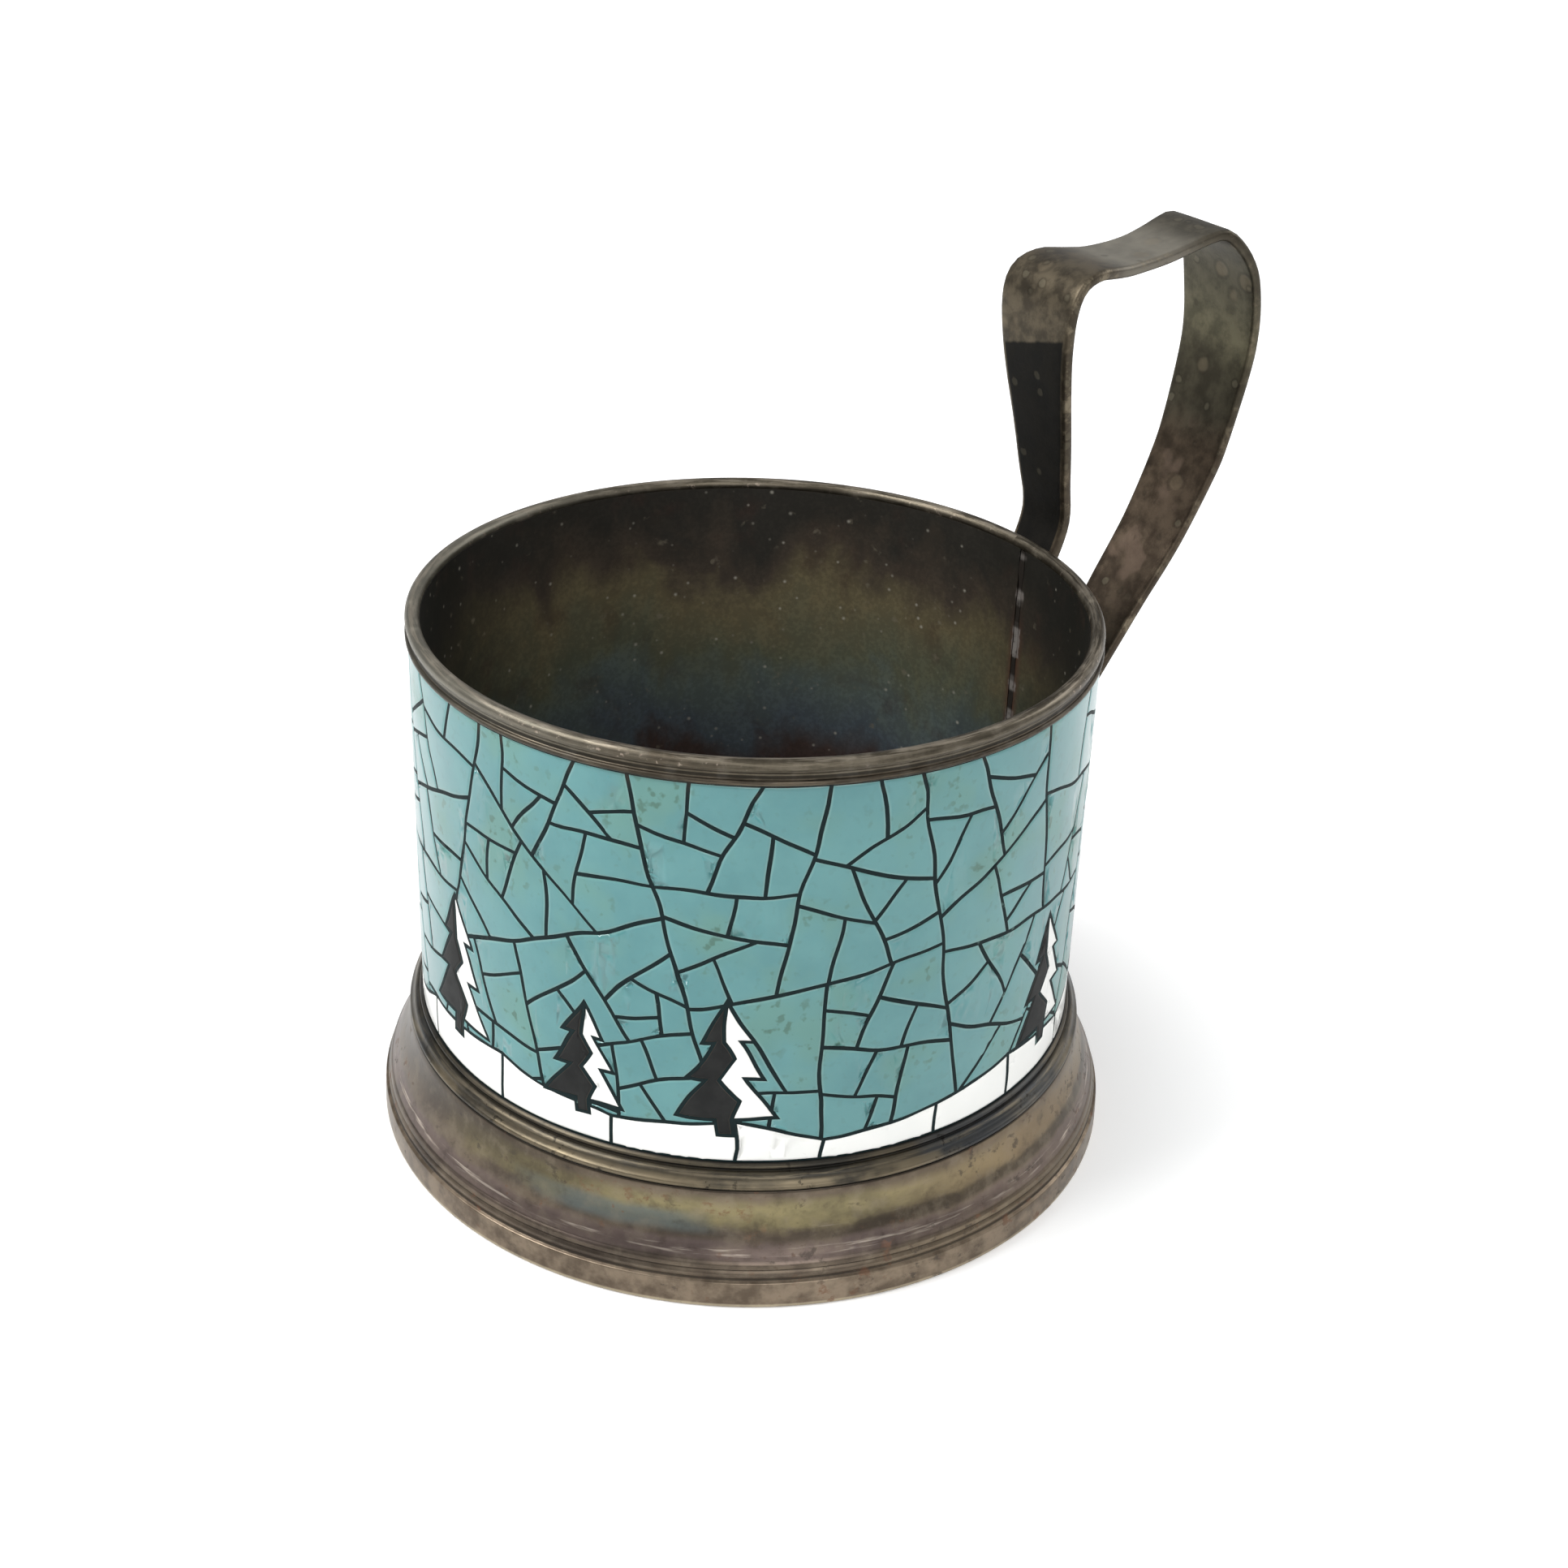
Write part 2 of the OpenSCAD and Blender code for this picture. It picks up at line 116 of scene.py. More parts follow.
class Paint:
    """One node material. The node method adds any node and gives back its first output."""

    def __init__(self, name, owner=None, shader="ShaderNodeBsdfPrincipled",
                 end="ShaderNodeOutputMaterial", **fixed):
        self.material = owner or bpy.data.materials.new(name)
        self.material.use_nodes = True
        self.tree = self.material.node_tree
        self.tree.nodes.clear()
        self.surface = self.tree.nodes.new(shader)
        self.tree.links.new(self.surface.outputs[0], self.tree.nodes.new(end).inputs["Surface"])
        for key, value in fixed.items():
            self.surface.inputs[key.replace("_", " ")].default_value = value
        self.place = self.node("ShaderNodeTexCoord", {}, {}, "Object")

    def node(self, kind, settings, inputs, out=0):
        made = self.tree.nodes.new(kind)
        stops = settings.pop("stops", None)
        for key, value in settings.items():
            setattr(made, key, value)
        if stops:
            ramp = made.color_ramp
            while len(ramp.elements) < len(stops):
                ramp.elements.new(1.0)
            for element, (at, colour) in zip(ramp.elements, stops):
                element.position, element.color = at, (*colour, 1)
        for key, value in inputs.items():
            if isinstance(value, Value):
                self.tree.links.new(value.socket, made.inputs[key])
            else:
                made.inputs[key].default_value = value
        return Value(self, made.outputs[out])

    def part(self, vector, axis):
        return self.node("ShaderNodeSeparateXYZ", {}, {0: vector}, axis)

    def noted(self, name):
        """A number kept at each point of the piece's mesh."""
        return self.node("ShaderNodeAttribute", {"attribute_name": name}, {}, "Fac")

    def stretched(self, scale, shift=(0, 0, 0)):
        return self.node("ShaderNodeMapping", {},
                         {"Vector": self.place, "Scale": scale, "Location": shift})

    def rounded(self, scale, shift=0.0):
        """Place as seen along the round: arc, radius and height. It meets itself at the handle."""
        x, y, z = (self.part(self.place, axis) for axis in range(3))
        turn = self.node("ShaderNodeMath", {"operation": "ARCTAN2"}, {0: -1 * y, 1: -1 * x})
        far = (x * x + y * y) ** 0.5
        return self.node("ShaderNodeCombineXYZ", {}, {
            0: turn * (band_r * mm * scale[0]) + shift, 1: far * scale[1], 2: z * scale[2]})

    def grain(self, size_mm, detail=3.0, rough=0.55, where=None, lumpy=0.0):
        """Noise whose features are about size_mm wide, from 0 to 1 with 0.5 in the middle."""
        return self.node("ShaderNodeTexNoise", {"noise_dimensions": "3D"},
                         {"Vector": where or self.place, "Scale": 1 / (size_mm * mm),
                          "Detail": detail, "Roughness": rough, "Distortion": lumpy})

    def lattice(self, size_mm, where=None, kind="F1", **more):
        """Random cells: how far each cell's middle is, and a number that each cell keeps."""
        cells = {"Vector": where or self.place, "Scale": 1 / (size_mm * mm), "Randomness": 1.0}
        spot = self.node("ShaderNodeTexVoronoi", {"feature": kind}, {**cells, **more})
        pick = self.part(self.node("ShaderNodeTexVoronoi", {"feature": "F1"}, cells, "Color"), 0)
        return spot, pick

    def step(self, value, low, high, to_low=0.0, to_high=1.0):
        """Smooth rise of value from low to high."""
        return self.node("ShaderNodeMapRange", {"interpolation_type": "SMOOTHSTEP"},
                         {"Value": value, "From Min": low, "From Max": high,
                          "To Min": to_low, "To Max": to_high})

    def band(self, value, middle, half, soft):
        """1 within half of the middle, falling to 0 over soft on both sides."""
        return (self.step(value, middle - half - soft, middle - half)
                * self.step(value, middle + half, middle + half + soft, 1.0, 0.0))

    def blend(self, share, first, second):
        return self.node("ShaderNodeMix", {"data_type": "RGBA"},
                         {0: share, 6: first, 7: second}, 2)

    def bump(self, height, depth_mm, strength):
        return self.node("ShaderNodeBump", {}, {"Strength": strength, "Distance": depth_mm * mm,
                                                "Height": height})

    def set(self, **links):
        for key, value in links.items():
            self.tree.links.new(value.socket, self.surface.inputs[key.replace("_", " ")])
        return self.material


def rgb(red, green, blue):
    """A colour as a picture shows it, 0 to 255, as the shader's own linear values."""
    return tuple(((c / 255 + 0.055) / 1.055) ** 2.4 if c > 10 else c / 255 / 12.92
                 for c in (red, green, blue))


def ink(red, green, blue):
    return (*rgb(red, green, blue), 1.0)


def drawn_face(points):
    """A flat face in edit mode, drawn from one loose vertex through its points in turn."""
    bpy.ops.object.select_all(action="DESELECT")
    bpy.ops.mesh.primitive_plane_add(size=mm, location=(0, 0, 0))
    bpy.ops.object.mode_set(mode="EDIT")
    bpy.ops.mesh.merge(type="CENTER")
    bpy.ops.transform.translate(value=points[0])
    for a, b in zip(points, points[1:]):
        bpy.ops.mesh.extrude_region_move(TRANSFORM_OT_translate={"value": b - a})
    bpy.ops.mesh.select_all(action="SELECT")
    bpy.ops.mesh.edge_face_add()


def spun(outline, steps, turn_from=0.0, turn=2 * math.pi):
    """A closed outline of [radius, height] points in millimetres, turned about the axis."""
    drawn_face([Vector((r * mm * math.cos(turn_from), r * mm * math.sin(turn_from), z * mm))
                for r, z in outline])
    bpy.ops.mesh.select_all(action="SELECT")
    if turn > 2 * math.pi - 1e-6:
        bpy.ops.mesh.delete(type="ONLY_FACE")
        bpy.ops.mesh.select_all(action="SELECT")
    bpy.ops.mesh.spin(steps=steps, angle=turn, center=(0, 0, 0), axis=(0, 0, 1))
    bpy.ops.mesh.select_all(action="SELECT")
    bpy.ops.mesh.remove_doubles(threshold=weld * mm)
    bpy.ops.mesh.normals_make_consistent(inside=False)
    bpy.ops.object.mode_set(mode="OBJECT")
    return bpy.context.object


def fitted(piece, name, material, slot_name, *nodes, angle=35.0):
    """Gives a finished piece its name, shading and material, and puts it in its solid's place."""
    bpy.ops.object.select_all(action="DESELECT")
    bpy.context.view_layer.objects.active = piece
    piece.select_set(True)
    bpy.ops.object.transform_apply(location=True, rotation=True, scale=True)
    bpy.ops.object.shade_smooth_by_angle(angle=math.radians(angle))
    piece.name = piece.data.name = name
    piece.data.materials.clear()
    piece.data.materials.append(material)
    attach(piece, "root")
    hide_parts(*nodes)


gap = seam_w / bore_r
sleeve = spun([[bore_r, tail_z], [metal_r, tail_z], [metal_r, sleeve_top], [bore_r, sleeve_top]],
              round_steps, seam_turn + gap / 2, 2 * math.pi - gap)

inside = Paint("tarnish_and_shade_inside", Specular_IOR_Level=0.5)
x, y, height = (inside.part(inside.place, axis) for axis in range(3))
cloud = inside.grain(12, 4, 0.6, inside.stretched((1, 1, 0.8)), 0.5)
hanging = inside.grain(5, 3, 0.5, inside.rounded((1, 1, 0.3)))
level = height + (cloud - 0.5) * (24 * mm) + (hanging - 0.5) * (8 * mm)
film = inside.node("ShaderNodeValToRGB", {"stops": [
    (0.06, rgb(88, 73, 68)), (0.18, rgb(95, 106, 114)), (0.34, rgb(107, 119, 113)),
    (0.47, rgb(109, 112, 91)), (0.66, rgb(125, 115, 86)), (0.80, rgb(84, 74, 63)),
    (0.93, rgb(58, 55, 49))]}, {"Fac": (level - 20 * mm) / (38 * mm)})
# Painted shade: the sides, as the camera sees them, are painted near black. The far wall, and less
# the near wall, keep their colours as if lit.
far_wall = (view_x * x + view_y * y) / (bore_r * mm)
painted_lit_walls = (inside.step(far_wall + (cloud - 0.5) * 0.5, 0.1, 0.85)
        + inside.step(far_wall, -0.3, -1.0) * 0.6)
film = inside.blend(0.88 - 0.88 * painted_lit_walls.held(), film, ink(29, 30, 27))
brown = inside.step(inside.grain(6, 4, 0.6, inside.stretched((1, 1, 1), shift=(0.3, 0.1, 0))),
                    0.54, 0.74)
film = inside.blend(brown * 0.4, film, ink(78, 58, 50))
spot, pick = inside.lattice(1.6)
specks = inside.step(spot, 0.06 + 0.16 * pick, 0.0) * inside.step(pick, 0.30, 0.70)
grit = inside.step(inside.grain(0.5, 3, 0.6) * 0.6 + inside.grain(3, 3, 0.6) * 0.4, 0.60, 0.44)
film = inside.blend(grit * 0.22, film, ink(22, 22, 20))
film = inside.blend(specks * 0.75, film, ink(166, 162, 150))
stain = inside.step(inside.grain(1.6, 3, 0.5), 0.66, 0.78)
film = inside.blend(stain * 0.5, film, ink(140, 132, 114))
from_seam = inside.node("ShaderNodeMath", {"operation": "ABSOLUTE"},
                        {0: y * math.cos(seam_turn) - x * math.sin(seam_turn)})
seam_side = inside.step(x, 20 * mm, 24 * mm)
runs = inside.grain(4.2, 2, 0.5, inside.stretched((0, 0, 1), shift=(0, 0, 0.4)))
red = inside.step(from_seam, 1.6 * mm, 0.3 * mm) * inside.step(height, 52 * mm, 46 * mm)
film = inside.blend(red * seam_side * 0.6, film, ink(96, 58, 50))
patch = (inside.step(from_seam + (inside.grain(1.1, 3) - 0.5) * (0.6 * mm), 0.8 * mm, 0.55 * mm)
         * inside.step(runs, 0.50, 0.55))
film = inside.blend(patch * seam_side * 0.85, film, ink(150, 142, 136))
scratches = inside.grain(1.2, 3, 0.6, inside.rounded((1, 1, 0.15)))
sleeve_skin = inside.set(
    Base_Color=film,
    Metallic=0.5 - 0.45 * specks,
    Roughness=0.42 + 0.2 * cloud,
    Normal=inside.bump(scratches + 0.6 * cloud, 0.04, 0.3))
fitted(sleeve, "sleeve_tube", sleeve_skin, "old_silver", "sleeve")

# Seam solder: silver solder run into the butt seam. It stands a hair proud inside, where the file
# has left it as a row of pale dashes.
sheet_middle = (bore_r + metal_r) / 2
seam_step, first_cut, last_cut = 0.8, 0.7, 0.4


def cut_level(heights):
    """Cuts the mesh in edit mode at heights in millimetres."""
    for height in heights:
        bpy.ops.mesh.select_all(action="SELECT")
        bpy.ops.mesh.bisect(plane_co=(0, 0, height * mm), plane_no=(0, 0, 1))


bpy.ops.object.select_all(action="DESELECT")
bpy.ops.mesh.primitive_cube_add(
    size=1, location=(sheet_middle * mm, 0, (tail_z + sleeve_top) / 2 * mm),
    scale=((metal_r - bore_r) * mm, seam_w * mm, (sleeve_top - tail_z) * mm))
bpy.ops.object.transform_apply(location=True, rotation=True, scale=True)
bpy.ops.object.mode_set(mode="EDIT")
cut_level(np.arange(tail_z + first_cut, sleeve_top - last_cut, seam_step))
bpy.ops.object.mode_set(mode="OBJECT")
seam = bpy.context.object
for v in seam.data.vertices:
    if v.co.x < sheet_middle * mm:
        v.co.x -= (0.07 + 0.08 * noise.noise(Vector((0, 0, v.co.z / (2.2 * mm))))) * mm
        v.co.y *= 1.7 + 1.1 * noise.noise(Vector((4, 0, v.co.z / (2.6 * mm))))
seam.data.transform(Matrix.Rotation(seam_turn, 4, "Z"))
solder = Paint("seam_solder", Metallic=0.5)
runs = solder.grain(4.2, 2, 0.5, solder.stretched((0, 0, 1), shift=(0, 0, 0.4)))
dashes = solder.step(runs, 0.49, 0.54) * solder.step(solder.grain(0.9, 3), 0.20, 0.50)
seam_skin = solder.set(Base_Color=solder.blend(dashes, ink(50, 45, 40), ink(156, 150, 144)),
                       Roughness=0.55 - 0.1 * dashes,
                       Normal=solder.bump(solder.grain(0.5, 3), 0.04, 0.6))
fitted(seam, "seam_solder_run", seam_skin, "solder", "seam_solder")

# Cell walls: fine partitions of flat wire, soldered on edge to the sleeve. They rise to just under
# the enamel's face and carry the dark lines, and leave a plain land for the handle's ends.
band_z, rim_z = 14.5, 56.5
land_half = 6.5
land_skin = band_r + 0.01
wall_sunk = 0.06
wall_depth = 0.42
stray = 0.55
land_ease = 0.6
faces_out = 0.9
cut_turn, first_turn = 1.5, 0.37
cut_rise, first_rise = 1.07, 0.63


def merged_copy(source, merged=0.004):
    """A copy of a solid with its own mesh, where corners nearer than merged millimetres are one."""
    bpy.ops.object.select_all(action="DESELECT")
    twin = frame["nodes"][source].copy()
    twin.data = twin.data.copy()
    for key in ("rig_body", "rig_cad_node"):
        del twin[key]
    bpy.context.collection.objects.link(twin)
    twin.parent = None
    twin.select_set(True)
    bpy.context.view_layer.objects.active = twin
    bpy.ops.object.mode_set(mode="EDIT")
    bpy.ops.mesh.select_all(action="SELECT")
    bpy.ops.mesh.remove_doubles(threshold=merged * mm)
    bpy.ops.mesh.select_all(action="DESELECT")
    bpy.ops.object.mode_set(mode="OBJECT")
    return twin


def outer_skin(source, **merging):
    """The outward faces alone of a copy of a solid on the band, in edit mode."""
    skin = merged_copy(source, **merging)
    for face in skin.data.polygons:
        out = Vector((face.center.x, face.center.y, 0)).normalized()
        face.select = not (face.normal.dot(out) > faces_out and
                           min(skin.data.vertices[i].co.to_2d().length
                               for i in face.vertices) > (band_r - 0.1) * mm)
    bpy.context.tool_settings.mesh_select_mode = (False, False, True)
    bpy.ops.object.mode_set(mode="EDIT")
    bpy.ops.mesh.delete(type="FACE")
    bpy.ops.mesh.select_mode(type="VERT")
    return skin


def cut_fine():
    """Cuts the mesh in edit mode along meridians and levels, so that it can follow the round."""
    for k in range(round(180 / cut_turn)):
        bpy.ops.mesh.select_all(action="SELECT")
        a = math.radians(cut_turn * k + first_turn)
        bpy.ops.mesh.bisect(plane_co=(0, 0, 0), plane_no=(math.sin(a), -math.cos(a), 0))
    cut_level(np.arange(band_z + first_rise, rim_z, cut_rise))


def drift(x, y, z):
    """How far the hand-bent wires stray at a place: along the round and up, in millimetres."""
    at = Vector((x, y, z)) / (5.2 * mm)
    inner = min(1, (z / mm - band_z) / 2, (rim_z - z / mm) / 2)
    arc = abs(math.atan2(y, x)) * band_r
    inner = max(0, min(inner, (arc - land_half) / 2)) if x > 0 else max(0, inner)
    return (stray * inner * noise.noise(at), stray * inner * noise.noise(at + Vector((7, 3, 5))))


def laid_round(skin, radius):
    """Sets each vertex to its radius in millimetres and lets it stray with the wires."""
    for v in skin.data.vertices:
        x, y, z = v.co
        along, up = drift(x, y, z)
        turn = math.atan2(y, x) + along / band_r
        r = radius(v, turn) * mm
        v.co = (r * math.cos(turn), r * math.sin(turn), z + up * mm)


def wall_radius(v, turn):
    land = max(0, min(1, (abs(turn) * band_r - land_half + land_ease) / land_ease))
    return band_r - wall_sunk * land


def kept_off(v):
    """Brings a vertex that would dip into the land out to just over it."""
    if v.co.to_2d().length < land_skin * mm:
        v.co.xy = v.co.to_2d().normalized() * land_skin * mm


def backed(skin, depth):
    """Closes a skin to a solid that reaches a depth in millimetres towards the axis."""
    bpy.ops.object.mode_set(mode="EDIT")
    bpy.ops.mesh.select_all(action="SELECT")
    bpy.ops.mesh.extrude_region()
    bpy.ops.object.mode_set(mode="OBJECT")
    for v in skin.data.vertices:
        if not v.select:
            v.co.xy = v.co.to_2d() * (1 - depth * mm / v.co.to_2d().length)


walls = outer_skin("cell_walls")
cut_fine()
bpy.ops.object.mode_set(mode="OBJECT")
wall_points = kdtree.KDTree(len(walls.data.vertices))
for v in walls.data.vertices:
    wall_points.insert(v.co, v.index)
wall_points.balance()
laid_round(walls, wall_radius)
backed(walls, wall_depth)

wire = Paint("wall_metal", Specular_IOR_Level=0.2)
height = wire.part(wire.place, 2)
reach = wire.part(wire.place, 0)
worn = wire.grain(2.4, 4, 0.6)
rubbed = wire.step(worn, 0.66, 0.76)
land = wire.step(reach, 34.5 * mm, 34.95 * mm)
dark = wire.blend(wire.grain(0.9, 3), ink(2, 18, 20), ink(10, 34, 36))
dark = wire.blend(wire.step(height, 54.6 * mm, 56.4 * mm) * wire.step(worn, 0.4, 0.6) * 0.6,
                  dark, ink(62, 54, 44))
dark = wire.blend(rubbed * 0.8, dark, ink(120, 150, 142))
bare = wire.blend(wire.step(wire.grain(5, 4, 0.6), 0.35, 0.65), ink(84, 78, 68), ink(124, 116, 98))
wall_skin = wire.set(
    Base_Color=wire.blend(land, dark, bare),
    Metallic=0.85 * land,
    Roughness=0.55 + 0.2 * worn,
    Normal=wire.bump(worn, 0.05, 0.4))
fitted(walls, "cell_wall_network", wall_skin, "old_silver", "cell_walls")

# Turquoise enamel: opaque glass, filled in layers into the cells and ground nearly flush with the
# walls. Each fill is drawn down a little at its edges, where a painted highlight makes it paler,
# and holds small dark specks and a few burst bubbles.
edge_sunk = 0.09
edge_w = 0.16
fill_depth = 0.44
fill_merged = 0.05
near_wall, crown_reach = 0.1, 0.5


def unfold(mesh):
    """Where insets cross in a narrow corner, draws their points back to where they came from."""
    bpy.ops.object.mode_set(mode="OBJECT")
    ring = [max((g.weight for g in v.groups), default=0) for v in mesh.vertices]
    source = {}
    for edge in mesh.edges:
        low, high = sorted(edge.vertices, key=lambda i: ring[i])
        if ring[low] < ring[high]:
            source[high] = low
    for again in range(6):
        folded = {i for f in mesh.polygons for i in f.vertices
                  if f.normal.dot(Vector((f.center.x, f.center.y, 0)).normalized()) < faces_out}
        for i in folded & source.keys():
            mesh.vertices[i].co = mesh.vertices[i].co.lerp(mesh.vertices[source[i]].co, 0.5)
        mesh.update()
    bpy.ops.object.mode_set(mode="EDIT")


def note_down(piece, name, numbers):
    """Keeps a number at each point of a piece's mesh, for its material to read."""
    note = piece.data.attributes.new(name, "FLOAT", "POINT")
    note.data.foreach_set("value", np.array(numbers, dtype=np.float32))


def filled(source):
    """The fills of one colour: each face inset twice, cut fine and laid round, then backed.
    Only the rings that follow a wall are drawn down."""
    fill = outer_skin(source, merged=fill_merged)
    fill.vertex_groups.new(name="crown")
    bpy.ops.mesh.select_all(action="SELECT")
    for weight in (0.72, 1.0):
        bpy.ops.mesh.inset(thickness=edge_w * mm, use_even_offset=False, use_boundary=True)
        bpy.context.tool_settings.vertex_group_weight = weight
        bpy.ops.object.vertex_group_assign()
        unfold(fill.data)
    cut_fine()
    bpy.ops.object.mode_set(mode="OBJECT")
    share = np.zeros(len(fill.data.vertices))
    for i, v in enumerate(fill.data.vertices):
        for g in v.groups:
            share[i] = g.weight
        if wall_points.find(v.co)[2] > (near_wall if share[i] == 0 else crown_reach) * mm:
            share[i] = 1.0
    laid_round(fill, lambda v, turn: band_r - edge_sunk * (1 - share[v.index]) ** 1.5)
    note_down(fill, "crown_share", share)
    fill.vertex_groups.clear()
    backed(fill, fill_depth)
    return fill


turquoise = filled("enamel_turquoise")
glass = Paint("turquoise_enamel", Coat_Roughness=0.09, IOR=1.5)
crown = glass.noted("crown_share")
cloud = glass.grain(5, 4, 0.55)
wide = glass.grain(24, 3, 0.5)
body = glass.blend(glass.step(wide * 0.6 + cloud * 0.4, 0.36, 0.64),
                   ink(70, 131, 134), ink(86, 145, 146))
green_patch = glass.step(glass.grain(9, 3, 0.5, glass.stretched((1, 1, 1), shift=(0.2, 0, 0.4))),
                         0.48, 0.68)
body = glass.blend(green_patch * 0.48, body, ink(100, 142, 125))
fleck = glass.step(glass.grain(0.9, 2, 0.4), 0.58, 0.70)
body = glass.blend(fleck * (0.12 + 0.75 * green_patch), body, ink(62, 104, 90))
spot, pick = glass.lattice(6.5)
chip = glass.step(spot + 0.05 * glass.grain(0.6, 2), 0.09, 0.05) * glass.step(pick, 0.80, 0.84)
body = glass.blend(chip * 0.8, body, ink(190, 216, 208))
# Painted highlight: the fill is paler on the rings drawn down beside the walls.
body = glass.blend(glass.step(crown, 0.95, 0.3) * 0.40, body, ink(134, 174, 168))
turquoise_skin = glass.set(
    Base_Color=body,
    Roughness=0.24 + 0.16 * cloud,
    Coat_Weight=0.6 - 0.3 * green_patch,
    Normal=glass.bump(glass.grain(3.2, 3, 0.5) + 0.3 * fleck + 1.2 * chip, 0.03, 0.35))
fitted(turquoise, "turquoise_fills", turquoise_skin, "turquoise_enamel", "enamel_turquoise")

# White enamel: the snow of the banks and on the trees' lit sides. It is the same glass in pure
# white, filled into its own cells and ground with the rest.
white = filled("enamel_white")
snow = Paint("white_enamel", Coat_Roughness=0.08)
crown = snow.noted("crown_share")
tint = snow.blend(snow.step(snow.grain(9, 3), 0.35, 0.65), ink(247, 248, 244), ink(252, 252, 248))
tint = snow.blend(snow.step(snow.grain(2.2, 3), 0.66, 0.8) * 0.16, tint, ink(214, 212, 198))
# Painted shade: the fill is greyer on the ring drawn down beside each wall.
tint = snow.blend(snow.step(crown, 0.25, 0.0) * 0.45, tint, ink(168, 172, 164))
white_skin = snow.set(Base_Color=tint, Roughness=0.22 + 0.15 * snow.grain(3, 3),
                      Coat_Weight=0.4 + 0.2 * snow.grain(9, 2),
                      Normal=snow.bump(snow.grain(6, 2), 0.02, 0.25))
fitted(white, "white_fills", white_skin, "white_enamel", "enamel_white")

# Black enamel: the trees' shaded sides, filled as the other colours are. It is ground matt, and
# brown where it has worn thin.
black = filled("enamel_black")
coal = Paint("black_enamel", Specular_IOR_Level=0.25)
crown = coal.noted("crown_share")
tint = coal.blend(coal.step(coal.grain(2.5, 4), 0.35, 0.7), ink(18, 19, 19), ink(31, 32, 31))
tint = coal.blend(coal.step(crown, 0.5, 0.0) * 0.8, tint, ink(74, 66, 57))
black_skin = coal.set(Base_Color=tint, Roughness=0.5 + 0.2 * coal.grain(2, 3),
                      Normal=coal.bump(coal.grain(1.2, 3), 0.03, 0.5))
fitted(black, "black_fills", black_skin, "black_enamel", "enamel_black")

# Rim ring: a drawn moulding of a round bead over a fine ridge, set on the sleeve's edge and
# soldered there. Its top is rubbed pale by hands and glasses.
rim_top = 59.05
ring_r = 38


def arc(centre, radius, first, last, count=9):
    """Points of an arc in millimetres, from the first to the last angle in degrees."""
    return [[centre[0] + radius * math.cos(math.radians(first + (last - first) * k / count)),
             centre[1] + radius * math.sin(math.radians(first + (last - first) * k / count))]
            for k in range(count + 1)]


rim = spun([[metal_r, rim_z], [band_r, rim_z]]
           + arc((band_r, rim_z + 0.3), 0.3, -80, 90)
           + [[band_r - 0.06, rim_z + 0.66], [band_r - 0.08, 57.5]]
           + arc((35.0, 58.3), 0.75, -55, 200, 22)
           + [[34.34, sleeve_top], [metal_r, sleeve_top]], round_steps)


def old_silver(name, seed):
    """Tarnished silver: a patina's noises, ready for a piece's own colours and marks."""
    paint = Paint(name)
    shifted = paint.stretched((1, 1, 1), shift=(seed, 0.37 * seed, 0.11 * seed))
    paint.patina = paint.grain(9, 5, 0.6, shifted, 0.4)
    paint.mottle = paint.grain(2.2, 4, 0.6, shifted)
    paint.fine = paint.grain(0.35, 3, 0.6, shifted)
    paint.streaks = paint.grain(6, 5, 0.68, paint.rounded((1, 16, 16), seed))
    paint.right = (view_y * paint.part(paint.place, 0)
                   - view_x * paint.part(paint.place, 1)) / (ring_r * mm)
    paint.front = (-view_x * paint.part(paint.place, 0)
                   - view_y * paint.part(paint.place, 1)) / (ring_r * mm)
    return paint


bead = old_silver("rim_silver", 1.3)
height = bead.part(bead.place, 2)
tone = bead.blend(bead.step(bead.streaks * 0.6 + bead.mottle * 0.4, 0.40, 0.60),
                  ink(76, 70, 59), ink(106, 99, 86))
tone = bead.blend(bead.step(bead.patina, 0.50, 0.68) * 0.35, tone, ink(92, 80, 68))
# Painted light: the ring is paler on its left side, towards the key lamp.
tone = bead.blend(bead.step(bead.right, -0.2, -0.9) * 0.55, tone, ink(142, 140, 128))
crest = bead.step(height, 58.72 * mm, 59.0 * mm)
tone = bead.blend(crest * bead.step(bead.streaks, 0.44, 0.60) * 0.55, tone, ink(172, 162, 146))
glint = bead.step(bead.grain(0.7, 3, 0.6), 0.58, 0.68) * bead.step(bead.patina, 0.44, 0.58)
tone = bead.blend(bead.band(height, 58.4 * mm, 0.22 * mm, 0.2 * mm) * glint * 0.6, tone,
                  ink(188, 172, 156))
thin = bead.band(height, 58.12 * mm, 0.04 * mm, 0.08 * mm) * bead.step(bead.mottle, 0.36, 0.56)
# Painted shade: the fine ridge under the bead is painted dark brown.
ridge = bead.step(height, 57.25 * mm, 57.1 * mm)
tone = bead.blend(ridge * 0.7, tone, bead.blend(bead.step(bead.streaks, 0.45, 0.65),
                                                ink(50, 44, 37), ink(92, 82, 69)))
groove = bead.band(height, 57.36 * mm, 0.1 * mm, 0.12 * mm) + bead.step(
    height, 56.66 * mm, 56.52 * mm) + 0.5 * thin
tone = bead.blend((groove * 0.85).held(), tone, ink(30, 27, 22))
rim_skin = bead.set(Base_Color=tone, Metallic=0.9 - 0.3 * bead.step(bead.mottle, 0.5, 0.7),
                    Roughness=0.32 + 0.2 * bead.mottle,
                    Normal=bead.bump(bead.streaks * 0.6 + 0.6 * bead.mottle + 0.4 * bead.fine,
                                     0.06, 0.5))
fitted(rim, "rim_moulding", rim_skin, "old_silver", "rim_ring")

